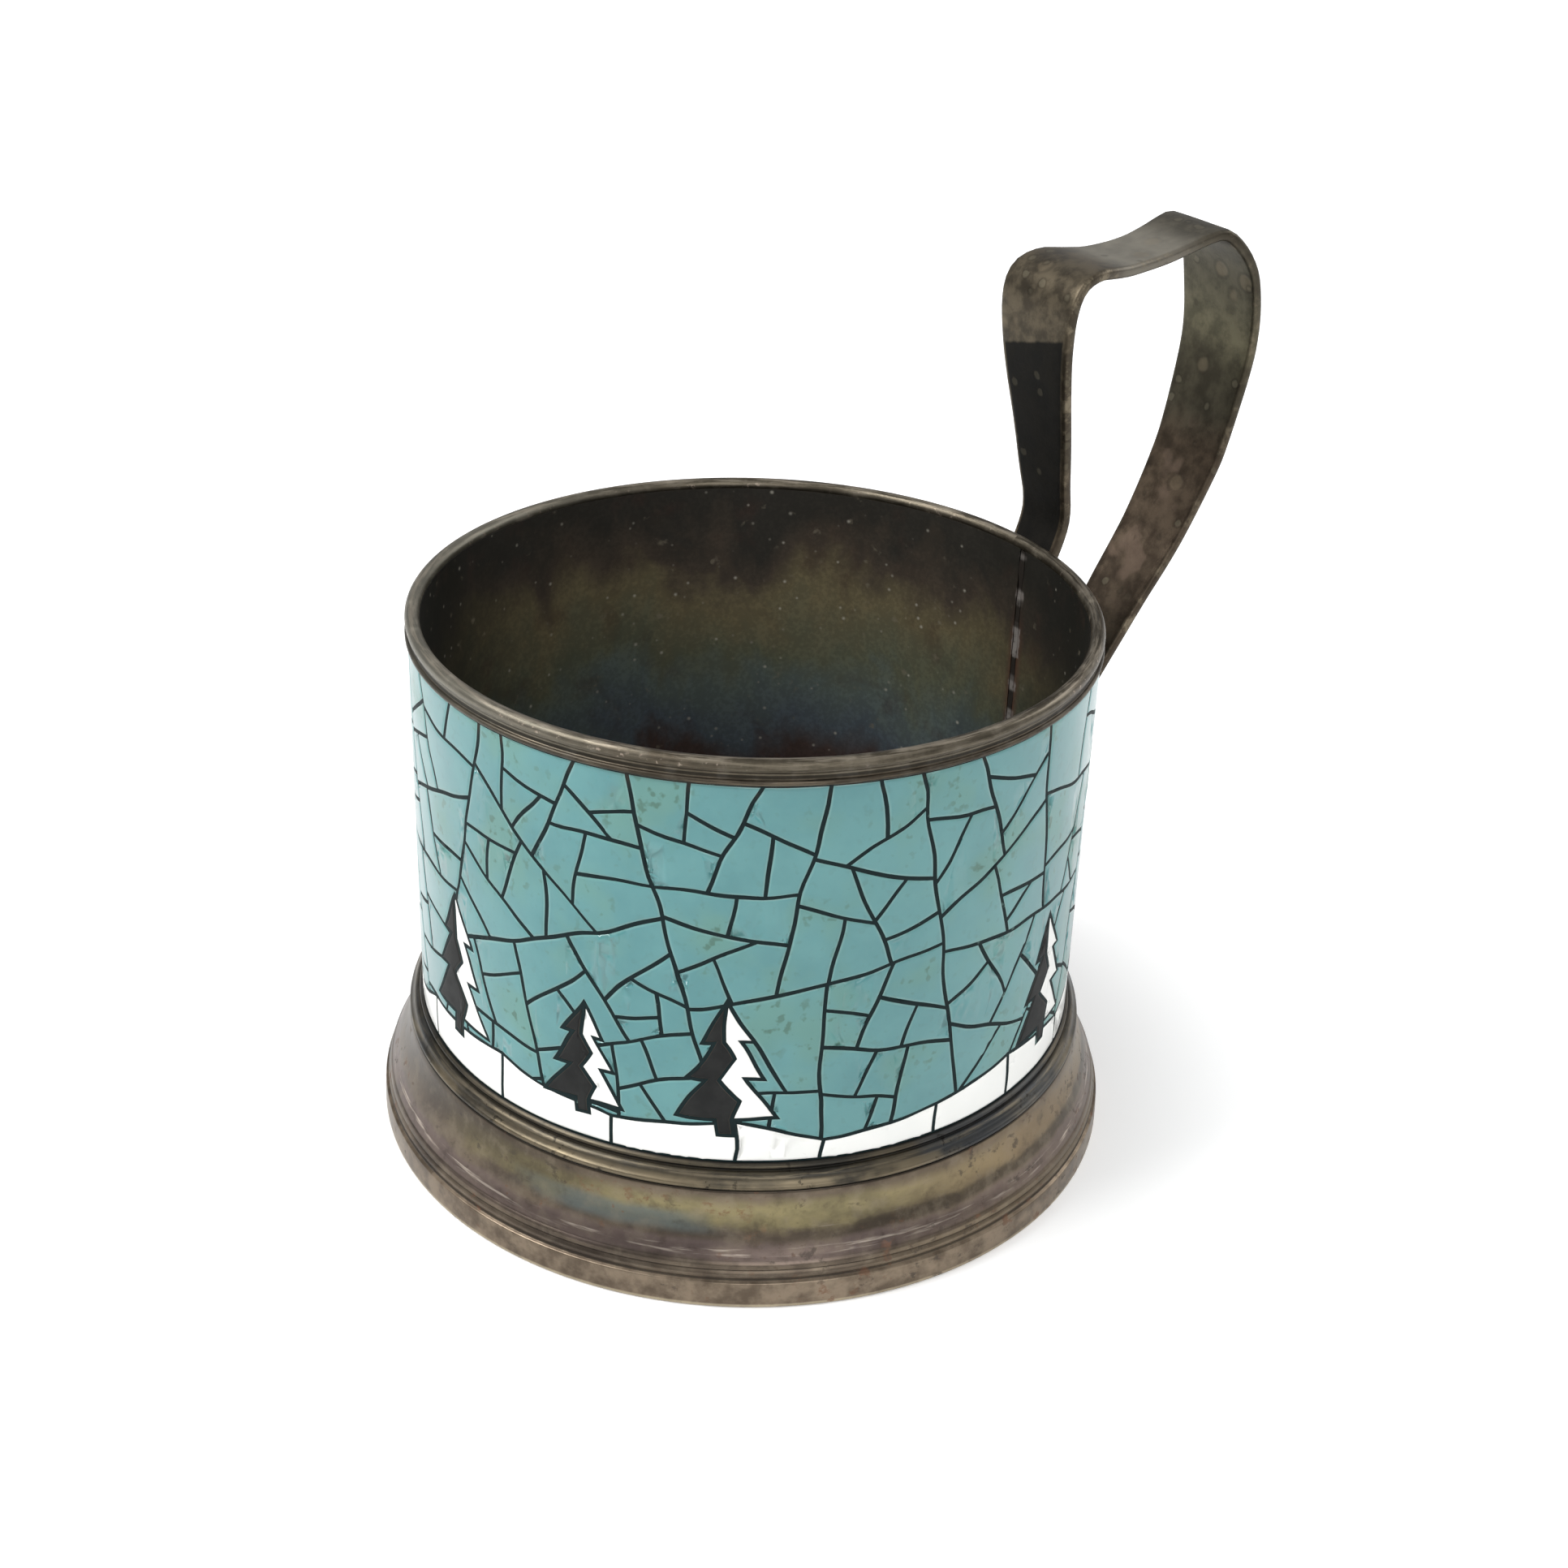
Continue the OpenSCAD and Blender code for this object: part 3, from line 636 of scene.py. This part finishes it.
# Foot collar: a drawn ring with a round bead over a fine ridge. It covers the joint between the
# sleeve and the foot and is soldered to both.
foot_h = 12.0
collar = spun([[metal_r, foot_h], [36.9, foot_h]]
              + arc((36.62, foot_h + 0.38), 0.38, -60, 60)
              + arc((35.75, 12.86), 0.84, 12, 88, 10)
              + [[35.74, 13.82]]
              + arc((35.66, 14.12), 0.22, -60, 75, 6)
              + [[35.54, band_z], [metal_r, band_z]], round_steps)
hoop = old_silver("collar_silver", 2.9)
height = hoop.part(hoop.place, 2)
tone = hoop.blend(hoop.step(hoop.patina * 0.6 + hoop.streaks * 0.4, 0.40, 0.60),
                  ink(50, 48, 43), ink(84, 77, 64))
steel = hoop.step(hoop.grain(20, 3, 0.5, hoop.rounded((1, 1, 1), 0.4)), 0.50, 0.62)
tone = hoop.blend(steel * 0.6, tone, ink(64, 68, 72))
sheen = (hoop.grain(8, 4, 0.55, hoop.rounded((1, 2, 2), 0.8))
         + hoop.step(hoop.front, 0.4, 0.95) * 0.10)
low_side = hoop.band(height, 12.66 * mm, 0.26 * mm, 0.4 * mm)
tone = hoop.blend((low_side * hoop.step(sheen, 0.46, 0.66) * 0.55).held(), tone,
                  ink(138, 125, 101))
high_side = hoop.band(height, 13.45 * mm, 0.08 * mm, 0.16 * mm) * hoop.step(hoop.streaks, 0.46, 0.6)
tone = hoop.blend((high_side * 0.45).held(), tone, ink(116, 106, 88))
crust = (hoop.step(hoop.grain(0.8, 4, 0.65), 0.56, 0.64)
         * hoop.step(hoop.grain(7, 2, 0.5, hoop.rounded((1, 1, 1), 0.2)), 0.48, 0.60))
tone = hoop.blend(crust * 0.75, tone, ink(26, 23, 18))
groove = (hoop.band(height, 13.86 * mm, 0.08 * mm, 0.12 * mm)
          + hoop.step(height, 14.36 * mm, 14.46 * mm)
          + hoop.step(height, 12.14 * mm, 12.04 * mm))
tone = hoop.blend((groove * 0.85).held(), tone, ink(22, 22, 20))
collar_skin = hoop.set(Base_Color=tone, Metallic=0.9 - 0.2 * hoop.mottle,
                       Roughness=0.28 + 0.2 * hoop.mottle,
                       Normal=hoop.bump(hoop.streaks * 0.6 + 0.6 * hoop.mottle, 0.05, 0.45))
fitted(collar, "collar_moulding", collar_skin, "old_silver", "foot_collar")

# Foot: a shell spun from one sheet, flaring from the collar to the standing edge, which is turned
# in underneath. Under the collar its flange meets the sleeve. Polish has never reached its grooves.
foot = spun([[metal_r, 11.2], [36.0, 11.2]]
            + arc((36.0, 10.9), 0.3, 80, 5, 3)
            + [[36.42, 10.2], [36.72, 8.95], [37.2, 7.7], [37.62, 6.75], [37.95, 5.9], [38.35, 5.0],
               [38.72, 4.2], [38.93, 3.4], [39.2, 2.9], [39.28, 0.95], [39.1, 0.8], [37.7, 0.8],
               [37.62, 0.4], [37.7, 0.0], [39.7, 0.0]]
            + arc((39.74, 0.36), 0.36, -90, 0, 5)
            + [[40.1, 0.72], [40.08, 1.5], [40.03, 2.3]]
            + arc((39.83, 2.86), 0.18, 0, 80, 4)
            + [[39.70, 3.12], [39.62, 3.30], [39.64, 3.44]]
            + arc((39.50, 3.80), 0.2, 40, -10, 3)[::-1]
            + [[39.62, 4.05], [39.50, 4.18], [39.46, 4.26], [39.50, 4.36], [39.42, 4.66],
               [39.34, 4.92], [39.22, 5.02], [39.16, 5.12], [39.08, 5.32], [38.86, 5.76],
               [38.62, 6.22], [38.42, 6.72], [38.26, 7.15], [38.02, 7.75], [37.76, 8.4],
               [37.52, 9.05], [37.33, 9.75], [37.19, 10.4], [37.06, 11.2], [36.97, 11.9],
               [36.9, foot_h], [metal_r, foot_h]], round_steps)
flare = old_silver("foot_silver", 4.1)
height = flare.part(flare.place, 2)
soft = flare.grain(16, 3, 0.5, flare.rounded((1, 1.5, 1.5), 0.3))
near = flare.grain(5, 4, 0.6, flare.rounded((1, 1.6, 1.6), 0.7))
turned = flare.right + (soft - 0.5) * 0.9
tone = flare.blend(flare.step(soft * 0.5 + near * 0.5, 0.38, 0.62),
                   ink(81, 72, 64), ink(112, 100, 86))
tone = flare.blend(flare.step(turned, 0.1, 0.8) * 0.6, tone, ink(122, 108, 88))
cove = flare.band(height + (near - 0.5) * (2.4 * mm), 9.5 * mm, 0.7 * mm, 1.4 * mm)
# Painted reflection: the cove is painted olive-yellow on the side facing the camera, as a bright
# reflection tinted by the tarnish.
olive_reflection = flare.step(flare.front + (soft - 0.5) * 0.9, 0.55, 0.95)
tone = flare.blend((cove * olive_reflection * 0.85).held(), tone,
                   flare.blend(flare.step(near, 0.36, 0.62), ink(119, 111, 83), ink(145, 135, 98)))
tone = flare.blend((cove * flare.step(turned, 0.2, 0.8) * 0.55).held(), tone, ink(146, 126, 96))
cool = flare.band(height + (soft - 0.5) * (2 * mm), 8.6 * mm, 0.5 * mm, 1.0 * mm)
cool = cool * flare.band(turned, -0.27, 0.08, 0.22)
tone = flare.blend((cool * 0.75).held(), tone, ink(110, 119, 116))
shade = (flare.band(height + (near - 0.5) * (1.2 * mm), 7.5 * mm, 0.25 * mm, 0.6 * mm)
         * flare.step(turned, -0.05, 0.35)
         + flare.step(height + (near - 0.5) * (2 * mm), 7.4 * mm, 10.2 * mm)
         * flare.step(turned, -0.05, -0.5))
tone = flare.blend((shade * 0.62).held(), tone, ink(60, 54, 46))
violet = flare.band(height + (near - 0.5) * (1.6 * mm), 5.9 * mm, 0.5 * mm, 0.8 * mm)
tone = flare.blend((violet * 0.5).held(), tone, ink(116, 101, 100))
tone = flare.blend(flare.step(flare.mottle, 0.46, 0.70) * 0.26, tone, ink(148, 136, 118))
tone = flare.blend(flare.step(flare.mottle, 0.46, 0.30) * 0.35, tone, ink(66, 58, 51))
long_run = flare.grain(5, 3, 0.6, flare.rounded((1, 14, 14), 0.9))
# Painted highlight: long pale dashes along the bulge, and a thinner run higher on the flare.
highlight_dash = (flare.band(height, 5.9 * mm, 0.14 * mm, 0.36 * mm) * flare.step(long_run, 0.50, 0.70)
        + flare.band(height, 8.2 * mm, 0.04 * mm, 0.14 * mm)
        * flare.step(long_run, 0.60, 0.70) * 0.6)
tone = flare.blend((highlight_dash * 0.7).held(), tone, ink(206, 193, 178))
base = flare.step(height, 3.25 * mm, 3.05 * mm)
tone = flare.blend(base * 0.85, tone,
                   flare.blend(flare.step(flare.mottle * 0.6 + near * 0.4, 0.38, 0.62),
                               ink(98, 86, 73), ink(142, 127, 109)))
edge = flare.band(height, 0.26 * mm, 0.15 * mm, 0.2 * mm)
tone = flare.blend((edge * (0.35 + 0.5 * flare.mottle)).held(), tone, ink(192, 180, 154))
groove = (flare.band(height, 3.3 * mm, 0.08 * mm, 0.1 * mm)
          + flare.band(height, 4.26 * mm, 0.04 * mm, 0.08 * mm) * 0.5
          + flare.band(height, 5.06 * mm, 0.04 * mm, 0.08 * mm) * 0.3
          + flare.step(height, 11.75 * mm, 11.95 * mm))
tone = flare.blend((groove * 0.75).held(), tone, ink(40, 35, 30))
rust = (flare.step(flare.grain(1.5, 4, 0.65, flare.stretched((1, 1, 1.3), shift=(0.5, 0.9, 0))),
                   0.56, 0.66)
        * flare.step(near * 0.5 + soft * 0.5 + flare.step(flare.right, -0.2, 0.7) * 0.12,
                     0.48, 0.60))
tone = flare.blend(rust * 0.6, tone, flare.blend(flare.step(flare.patina, 0.45, 0.55),
                                                 ink(110, 70, 44), ink(52, 43, 34)))
foot_skin = flare.set(Base_Color=tone, Metallic=0.9 - 0.35 * rust,
                      Roughness=0.24 + 0.16 * flare.mottle + 0.15 * rust,
                      Normal=flare.bump(flare.streaks * 0.2 + flare.mottle * 0.5
                                        + flare.fine * 0.2, 0.045, 0.4))
fitted(foot, "foot_shell", foot_skin, "old_silver", "foot")

# Seat disc: a stamped disc with a stiffening ring pressed into it, soldered under the sleeve's
# lower edge. The glass stands on it.
seat_steps = 128
seat = spun([[0.02, tail_z], [22.8, tail_z], [23.2, 10.6], [23.9, 10.18], [24.3, 10.1],
             [25.7, 10.1], [26.1, 10.18], [26.8, 10.6], [27.2, tail_z], [metal_r, tail_z],
             [metal_r, 9.8], [27.4, 9.8], [27.0, 9.7], [26.3, 9.28], [25.9, 9.2], [24.1, 9.2],
             [23.7, 9.28], [23.0, 9.7], [22.6, 9.8], [0.02, 9.8]], seat_steps)
disc = old_silver("seat_silver", 5.7)
tone = disc.blend(disc.step(disc.patina, 0.30, 0.72), ink(50, 44, 38), ink(92, 82, 66))
tone = disc.blend(disc.step(disc.mottle, 0.50, 0.76) * 0.4, tone, ink(58, 64, 72))
from_axis = disc.node("ShaderNodeVectorMath", {"operation": "LENGTH"},
                      {0: disc.stretched((1, 1, 0))}, 1)
rubbed = disc.band(from_axis, 30.2 * mm, 1.2 * mm, 2.0 * mm) * disc.step(disc.mottle, 0.32, 0.72)
tone = disc.blend((rubbed * 0.45).held(), tone, ink(138, 130, 116))
seat_skin = disc.set(Base_Color=tone, Metallic=0.9 - 0.2 * disc.patina,
                     Roughness=0.38 + 0.25 * disc.mottle,
                     Normal=disc.bump(disc.mottle + 0.6 * disc.fine, 0.06, 0.5))
fitted(seat, "seat_plate", seat_skin, "old_silver", "seat_disc")

# Handle: one strap of nickel silver, forged flat with soft edges and bent to a tall loop. Both
# ends lie on the sleeve's plain land and are soldered there.
strap_t = 1.4
strap_w, waist_w, waist_l, upper_w, lower_w = 11.7, 8.0, 25.0, 7.0, 6.6
hold_r, reach_r = 35.95, 62.4
crest_z, low_pad_top, low_end_z = 90.65, 26.0, 17.5
high_pad_top, pad_l = 52.9, 8.5
inner_full_z, inner_cut_z, outer_full_z, waist_z = 86.04, 61.74, 84.19, 82.575
line_step, steps_a_mark = 1.0, 12
end_ease, end_cut = 1.2, 0.9
rise_shares = [(0.104, 0), (0.119, 0.09), (0.095, 0.2), (0.058, 0.378), (0.019, 0.54),
               (-0.006, 0.67), (-0.015, 0.79), (0, 0.872), (0.045, 0.922), (0.13, 0.943),
               (0.225, 0.937), (0.335, 0.932), (0.5, 0.945), (0.63, 0.97), (0.735, 0.995),
               (0.81, 1)]
drop_shares = [(0.89, 0.973), (0.952, 0.932), (0.983, 0.88), (1, 0.82), (0.99, 0.755),
               (0.93, 0.64), (0.878, 0.575), (0.738, 0.46), (0.56, 0.35), (0.37, 0.23),
               (0.175, 0.1), (0.055, 0.025)]


def bent_line():
    """The strap's middle line in millimetres, even steps along a smooth curve."""
    marks = [(hold_r, high_pad_top - pad_l), (hold_r, high_pad_top - pad_l / 2),
             (hold_r, high_pad_top)]
    marks += [(band_r + a * (reach_r - band_r), rim_top + b * (crest_z - rim_top))
              for a, b in rise_shares]
    marks += [(band_r + a * (reach_r - band_r), low_pad_top + b * (crest_z - low_pad_top))
              for a, b in drop_shares]
    marks += [(hold_r, low_pad_top - pad_l / 4), (hold_r, low_pad_top - pad_l / 2),
              (hold_r, low_end_z)]
    marks = [Vector(m) for m in marks]
    line = []
    for i in range(len(marks) - 1):
        a, b = marks[max(i - 1, 0)], marks[i]
        c, d = marks[i + 1], marks[min(i + 2, len(marks) - 1)]
        for k in range(steps_a_mark):
            t = k / steps_a_mark
            q = (2 * b + (c - a) * t + (2 * a - 5 * b + 4 * c - d) * t ** 2
                 + (3 * b - a - 3 * c + d) * t ** 3) / 2
            if q.y < high_pad_top and q.x < hold_r:
                q.x = hold_r
            line.append(q)
    line.append(marks[-1])
    return line


def evened(line, gap_mm):
    """The same line with its points spaced evenly."""
    out, left = [line[0]], gap_mm
    for a, b in zip(line, line[1:]):
        reach = (b - a).length
        at = 0.0
        while reach - at >= left:
            at += left
            out.append(a + (b - a) * (at / reach))
            left = gap_mm
        left -= reach - at
    out[-1] = line[-1]
    return out


line = evened(bent_line(), line_step)
length = len(line) - 1


def cut_width(i):
    """The strap's width in millimetres where the line's step i lies: ends and waist are filed."""
    r, z = line[i]
    if i < length / 2:
        full, end, narrow = inner_full_z, inner_cut_z, upper_w
    else:
        full, end, narrow = outer_full_z, low_pad_top, lower_w
    w = narrow + (strap_w - narrow) * max(0, min(1, (z - end) / (full - end)))
    from_waist = r - (hold_r + reach_r) / 2
    waist_r = (waist_l ** 2 + (strap_w - waist_w) ** 2) / 4 / (strap_w - waist_w)
    if z > waist_z and abs(from_waist) < waist_l / 2:
        w = min(w, waist_w + 2 * (waist_r - math.sqrt(waist_r ** 2 - from_waist ** 2)))
    return w


def strap_width(i):
    """The filed width, evened over three steps to each side and a little uneven by hand."""
    near = [cut_width(max(0, min(length, i + k))) for k in range(-3, 4)]
    return sum(near) / len(near) * (1 + 0.012 * noise.noise(Vector((i / 9, 3, 1))))


# The bar is first extruded straight, step by step, from a section with rounded edges.
edge_r = 0.5
flat_half = strap_w / 2 - edge_r
edge = arc((strap_t / 2 - edge_r, flat_half), edge_r, 0, 90, 4)
flat = [[strap_t / 2, y] for y in np.linspace(-flat_half, flat_half, 11)[1:-1]]
half_round = flat + edge + [[-x, y] for x, y in edge[::-1]]
section = half_round + [[-x, -y] for x, y in half_round]
section = [Vector((x * mm, y * mm, 0)) for x, y in section]
drawn_face(section)
for i in range(length):
    bpy.ops.mesh.extrude_region_move(TRANSFORM_OT_translate={"value": (0, 0, line_step * mm)})
bpy.ops.mesh.select_all(action="SELECT")
bpy.ops.mesh.normals_make_consistent(inside=False)
bpy.ops.object.mode_set(mode="OBJECT")
handle = bpy.context.object

# Then each step is carried to its place on the bent line, narrowed there, and made a little
# uneven, and the ends are laid to the round of the sleeve.
across_share = []
for v in handle.data.vertices:
    x, y = v.co.x / mm, v.co.y / mm
    i = round(v.co.z / (line_step * mm))
    across_share.append(abs(y) / strap_w * 2)
    here, ahead, behind = line[i], line[min(i + 1, length)], line[max(i - 1, 0)]
    way = (ahead - behind).normalized()
    end = max(0, end_ease - min(i, length - i)) / end_ease
    narrower = strap_w / 2 - strap_width(i) / 2 + end_cut * end ** 2
    y -= max(-1, min(1, y / flat_half)) * narrower
    uneven = 1 - 0.05 + 0.05 * noise.noise(Vector((x, y, i)) / 6) + 0.03 * noise.noise(
        Vector((x, y, i)) / 2)
    crown = 1 - 0.09 * (y / strap_w * 2) ** 2
    x *= uneven * crown
    v.co = ((here.x + way.y * x) * mm, y * mm, (here.y - way.x * x) * mm)
    if v.co.z < rim_z * mm:
        kept_off(v)

note_down(handle, "across_share", across_share)

strap = old_silver("handle_silver", 7.3)
strap.surface.inputs["Specular IOR Level"].default_value = 0.2
height = strap.part(strap.place, 2)
reach = strap.part(strap.place, 0)
share = (height + (strap.patina - 0.5) * (7 * mm) - 16 * mm) / (78 * mm)
dim = strap.node("ShaderNodeValToRGB", {"stops": [
    (0.0, rgb(52, 45, 38)), (0.36, rgb(54, 46, 38)), (0.50, rgb(66, 56, 46)),
    (0.63, rgb(62, 53, 43)), (0.68, rgb(56, 52, 42)), (0.75, rgb(60, 56, 45)),
    (0.80, rgb(76, 73, 58)), (0.88, rgb(66, 63, 52)), (0.97, rgb(74, 70, 60))]}, {"Fac": share})
bright = strap.node("ShaderNodeValToRGB", {"stops": [
    (0.0, rgb(78, 67, 56)), (0.36, rgb(80, 69, 57)), (0.50, rgb(97, 84, 70)),
    (0.63, rgb(90, 77, 63)), (0.68, rgb(76, 71, 58)), (0.75, rgb(80, 76, 61)),
    (0.80, rgb(112, 107, 86)), (0.88, rgb(90, 86, 72)), (0.97, rgb(98, 93, 81))]}, {"Fac": share})
tone = strap.blend(strap.step(strap.patina * 0.4 + strap.mottle * 0.6, 0.38, 0.62), dim, bright)
top = strap.band(reach, 46 * mm, 4 * mm, 5 * mm) * strap.step(height, 84 * mm, 87 * mm)
tone = strap.blend(top * 0.8, tone,
                   strap.blend(strap.mottle, ink(138, 133, 122), ink(168, 163, 150)))
rose = (strap.step(strap.grain(4.5, 2, 0.4, strap.stretched((1, 1, 0.8), shift=(0.7, 0.2, 0.8))),
                   0.55, 0.62) * strap.band(height, 58 * mm, 7 * mm, 4 * mm))
tone = strap.blend(rose * 0.5, tone, ink(116, 99, 86))
inner_leg = strap.step(reach, 44 * mm, 40 * mm) * strap.step(height, 38 * mm, 44 * mm)
tone = strap.blend(inner_leg * 0.8, tone, strap.blend(
    strap.step(strap.mottle, 0.36, 0.64), ink(66, 59, 49), ink(100, 90, 74)))
side = strap.noted("across_share")
# The inner leg is painted near black, all but its edges, below a nearly level edge at about 81 mm.
inner_leg_black = (inner_leg * strap.step(side, 0.92, 0.86) * strap.step(
    height + 0.27 * strap.part(strap.place, 1) + (strap.mottle - 0.5) * (0.5 * mm),
    81.3 * mm, 80.9 * mm))
tone = strap.blend((inner_leg_black * 0.95).held(), tone,
                   strap.blend(strap.mottle, ink(5, 6, 5), ink(17, 17, 15)))


def round_spots(size_mm, share_of_cells, shift):
    """Soft round spots in some cells of a random lattice, 0 to 1."""
    at = strap.node("ShaderNodeVectorMath", {"operation": "MULTIPLY_ADD"}, {
        0: strap.node("ShaderNodeTexNoise", {}, {"Vector": strap.place, "Scale": 1 / (1.3 * mm)},
                      "Color"),
        1: (0.5 * mm,) * 3, 2: strap.stretched((1, 1, 1), shift=(shift, 0, 0))})
    spot, pick = strap.lattice(size_mm, at, "SMOOTH_F1", Smoothness=0.15)
    wanted = strap.step(pick, 1 - share_of_cells, 1.02 - share_of_cells)
    return strap.step(spot, 0.34, 0.20) * wanted, strap.band(spot, 0.33, 0.02, 0.08) * wanted


spots, rings = round_spots(3.4, 0.45, 0.2)
tone = strap.blend(spots * 0.24 * (1 - inner_leg_black), tone, ink(138, 124, 102))
tone = strap.blend((rings * 0.25 * (1 - inner_leg_black) * (1 - 0.8 * top)).held(), tone, ink(48, 42, 35))
small, small_rings = round_spots(1.7, 0.3, 0.6)
tone = strap.blend(small_rings * 0.3 * (1 - inner_leg_black), tone, ink(44, 40, 32))
tone = strap.blend(small * (0.4 - 0.2 * inner_leg_black), tone, ink(116, 110, 93))
bend = strap.step(side, 0.90, 0.98)
tone = strap.blend(bend * 0.45, tone, ink(66, 59, 50))
# Pale tan specks along the strap's rounded edges: wear, and a painted highlight where the edges
# would catch the light. They are fewer on the outer leg.
rub_and_highlight = bend * strap.step(strap.grain(2.0, 5, 0.7), 0.50, 0.66)
tone = strap.blend(rub_and_highlight * (0.5 - 0.25 * strap.step(reach, 48 * mm, 54 * mm)), tone,
                   ink(150, 138, 116))
strap_skin = strap.set(Base_Color=tone, Metallic=0.88 - 0.2 * strap.mottle - 0.4 * inner_leg_black,
                       Roughness=0.30 + 0.22 * strap.mottle + 0.25 * inner_leg_black,
                       Normal=strap.bump(strap.mottle * 0.7 + 0.4 * strap.fine + 0.8 * strap.patina
                                         - 0.3 * spots, 0.08, 0.45))
fitted(handle, "strap_handle", strap_skin, "old_silver", "handle", angle=40)

# Handle solders: silver solder run round each end of the strap on the land. It has sunk into a
# fillet and darkened unevenly.
fillet_grid = 0.16
fillet = old_silver("solder_fillet", 9.1)
tone = fillet.blend(fillet.step(fillet.mottle, 0.40, 0.60), ink(74, 68, 58), ink(150, 142, 122))
solder_skin = fillet.set(Base_Color=tone, Metallic=0.9 - 0.2 * fillet.mottle,
                         Roughness=0.42 + 0.25 * fillet.mottle,
                         Normal=fillet.bump(fillet.mottle + fillet.fine, 0.08, 0.7))
for source, name in (("upper_solder", "upper_solder_fillet"),
                     ("lower_solder", "lower_solder_fillet")):
    run = merged_copy(source)
    run.data.remesh_voxel_size = fillet_grid * mm
    bpy.ops.object.voxel_remesh()
    soft = run.modifiers.new("sunk", "SMOOTH")
    soft.factor, soft.iterations = 0.5, 5
    bpy.ops.object.modifier_apply(modifier=soft.name)
    for v in run.data.vertices:
        v.co += v.normal * 0.05 * mm * noise.noise(v.co / (1.3 * mm))
        kept_off(v)
    fitted(run, name, solder_skin, "solder", source, angle=60)

# Floor: a plain matt sheet, far wider than the holder. The camera sees it white, metal and enamel
# mirror it pale, and it keeps the holder's shadow.
floor_size = 6
bpy.ops.object.select_all(action="DESELECT")
bpy.ops.mesh.primitive_plane_add(size=floor_size, location=(0, 0, 0))
floor = bpy.context.object
floor.name = "floor"
ground = Paint("white_ground", Roughness=0.9, Specular_IOR_Level=0.1, Emission_Strength=1.0)
seen = ground.node("ShaderNodeLightPath", {}, {}, "Is Camera Ray")
mirrored = ground.node("ShaderNodeLightPath", {}, {}, "Is Glossy Ray")
away = (ground.part(ground.place, 0) ** 2 + ground.part(ground.place, 1) ** 2) ** 0.5
sheen = ground.blend(ground.step(away, 41 * mm, 66 * mm), ink(132, 132, 132), ink(182, 182, 182))
ground_skin = ground.set(
    Base_Color=ground.blend(ground.grain(300, 2), ink(236, 236, 236), ink(240, 240, 240)),
    Emission_Color=ground.blend((seen + mirrored * 0.5).held(), ink(0, 0, 0), sheen))
floor.data.materials.append(ground_skin)

# Light: a soft lamp high on the left and weaker ones from the front and the right, all turned to
# the holder's middle, in a pale room that is brighter overhead.
lit_middle = Vector((0, 0, 0.04))
for name, place, size, power in (("key", (-0.75, 0.25, 0.9), 0.55, 10.2),
                                 ("front", (-0.35, -0.95, 0.65), 0.8, 4.6),
                                 ("right", (0.9, -0.2, 0.5), 0.6, 2.3)):
    bpy.ops.object.select_all(action="DESELECT")
    bpy.ops.object.light_add(type="AREA", location=place)
    lamp = bpy.context.object
    lamp.name, lamp.data.size, lamp.data.energy = name + "_lamp", size, power
    lamp.rotation_euler = (lit_middle - Vector(place)).to_track_quat("-Z", "Y").to_euler()

world = bpy.data.worlds.new("room")
bpy.context.scene.world = world
room = Paint("room", world, "ShaderNodeBackground", "ShaderNodeOutputWorld", Strength=0.6)
rising = room.part(room.node("ShaderNodeTexCoord", {}, {}, "Generated"), 2)
room.set(Color=room.blend(room.step(rising, 0.0, 0.9), (0.50, 0.50, 0.51, 1), (1, 1, 1, 1)))

# Camera: above the front on the enamel's side, where the handle stands to the right and behind. It
# looks down, and is swung and rolled a little, as in the photograph.
camera_place = (-0.1284, -0.1833, 0.1575)
handle_turn = math.radians(35)
bpy.ops.object.select_all(action="DESELECT")
bpy.ops.object.camera_add(location=camera_place)
camera = bpy.context.object
camera.data.sensor_width, camera.data.lens = 36, 54.56
swing, tilt, roll = 0.016, 0.491, -0.038
ahead = Vector((math.sin(swing) * math.cos(tilt), math.cos(swing) * math.cos(tilt),
                -math.sin(tilt)))
right = Vector((math.cos(swing), -math.sin(swing), 0))
down = ahead.cross(right)
axis_x = math.cos(roll) * right + math.sin(roll) * down
axis_y = math.sin(roll) * right - math.cos(roll) * down
look = Matrix.Rotation(-handle_turn, 3, "Z") @ Matrix((axis_x, axis_y, -ahead)).transposed()
camera.rotation_euler = look.to_euler()
bpy.context.scene.camera = camera
bpy.context.scene.view_settings.view_transform = "Standard"
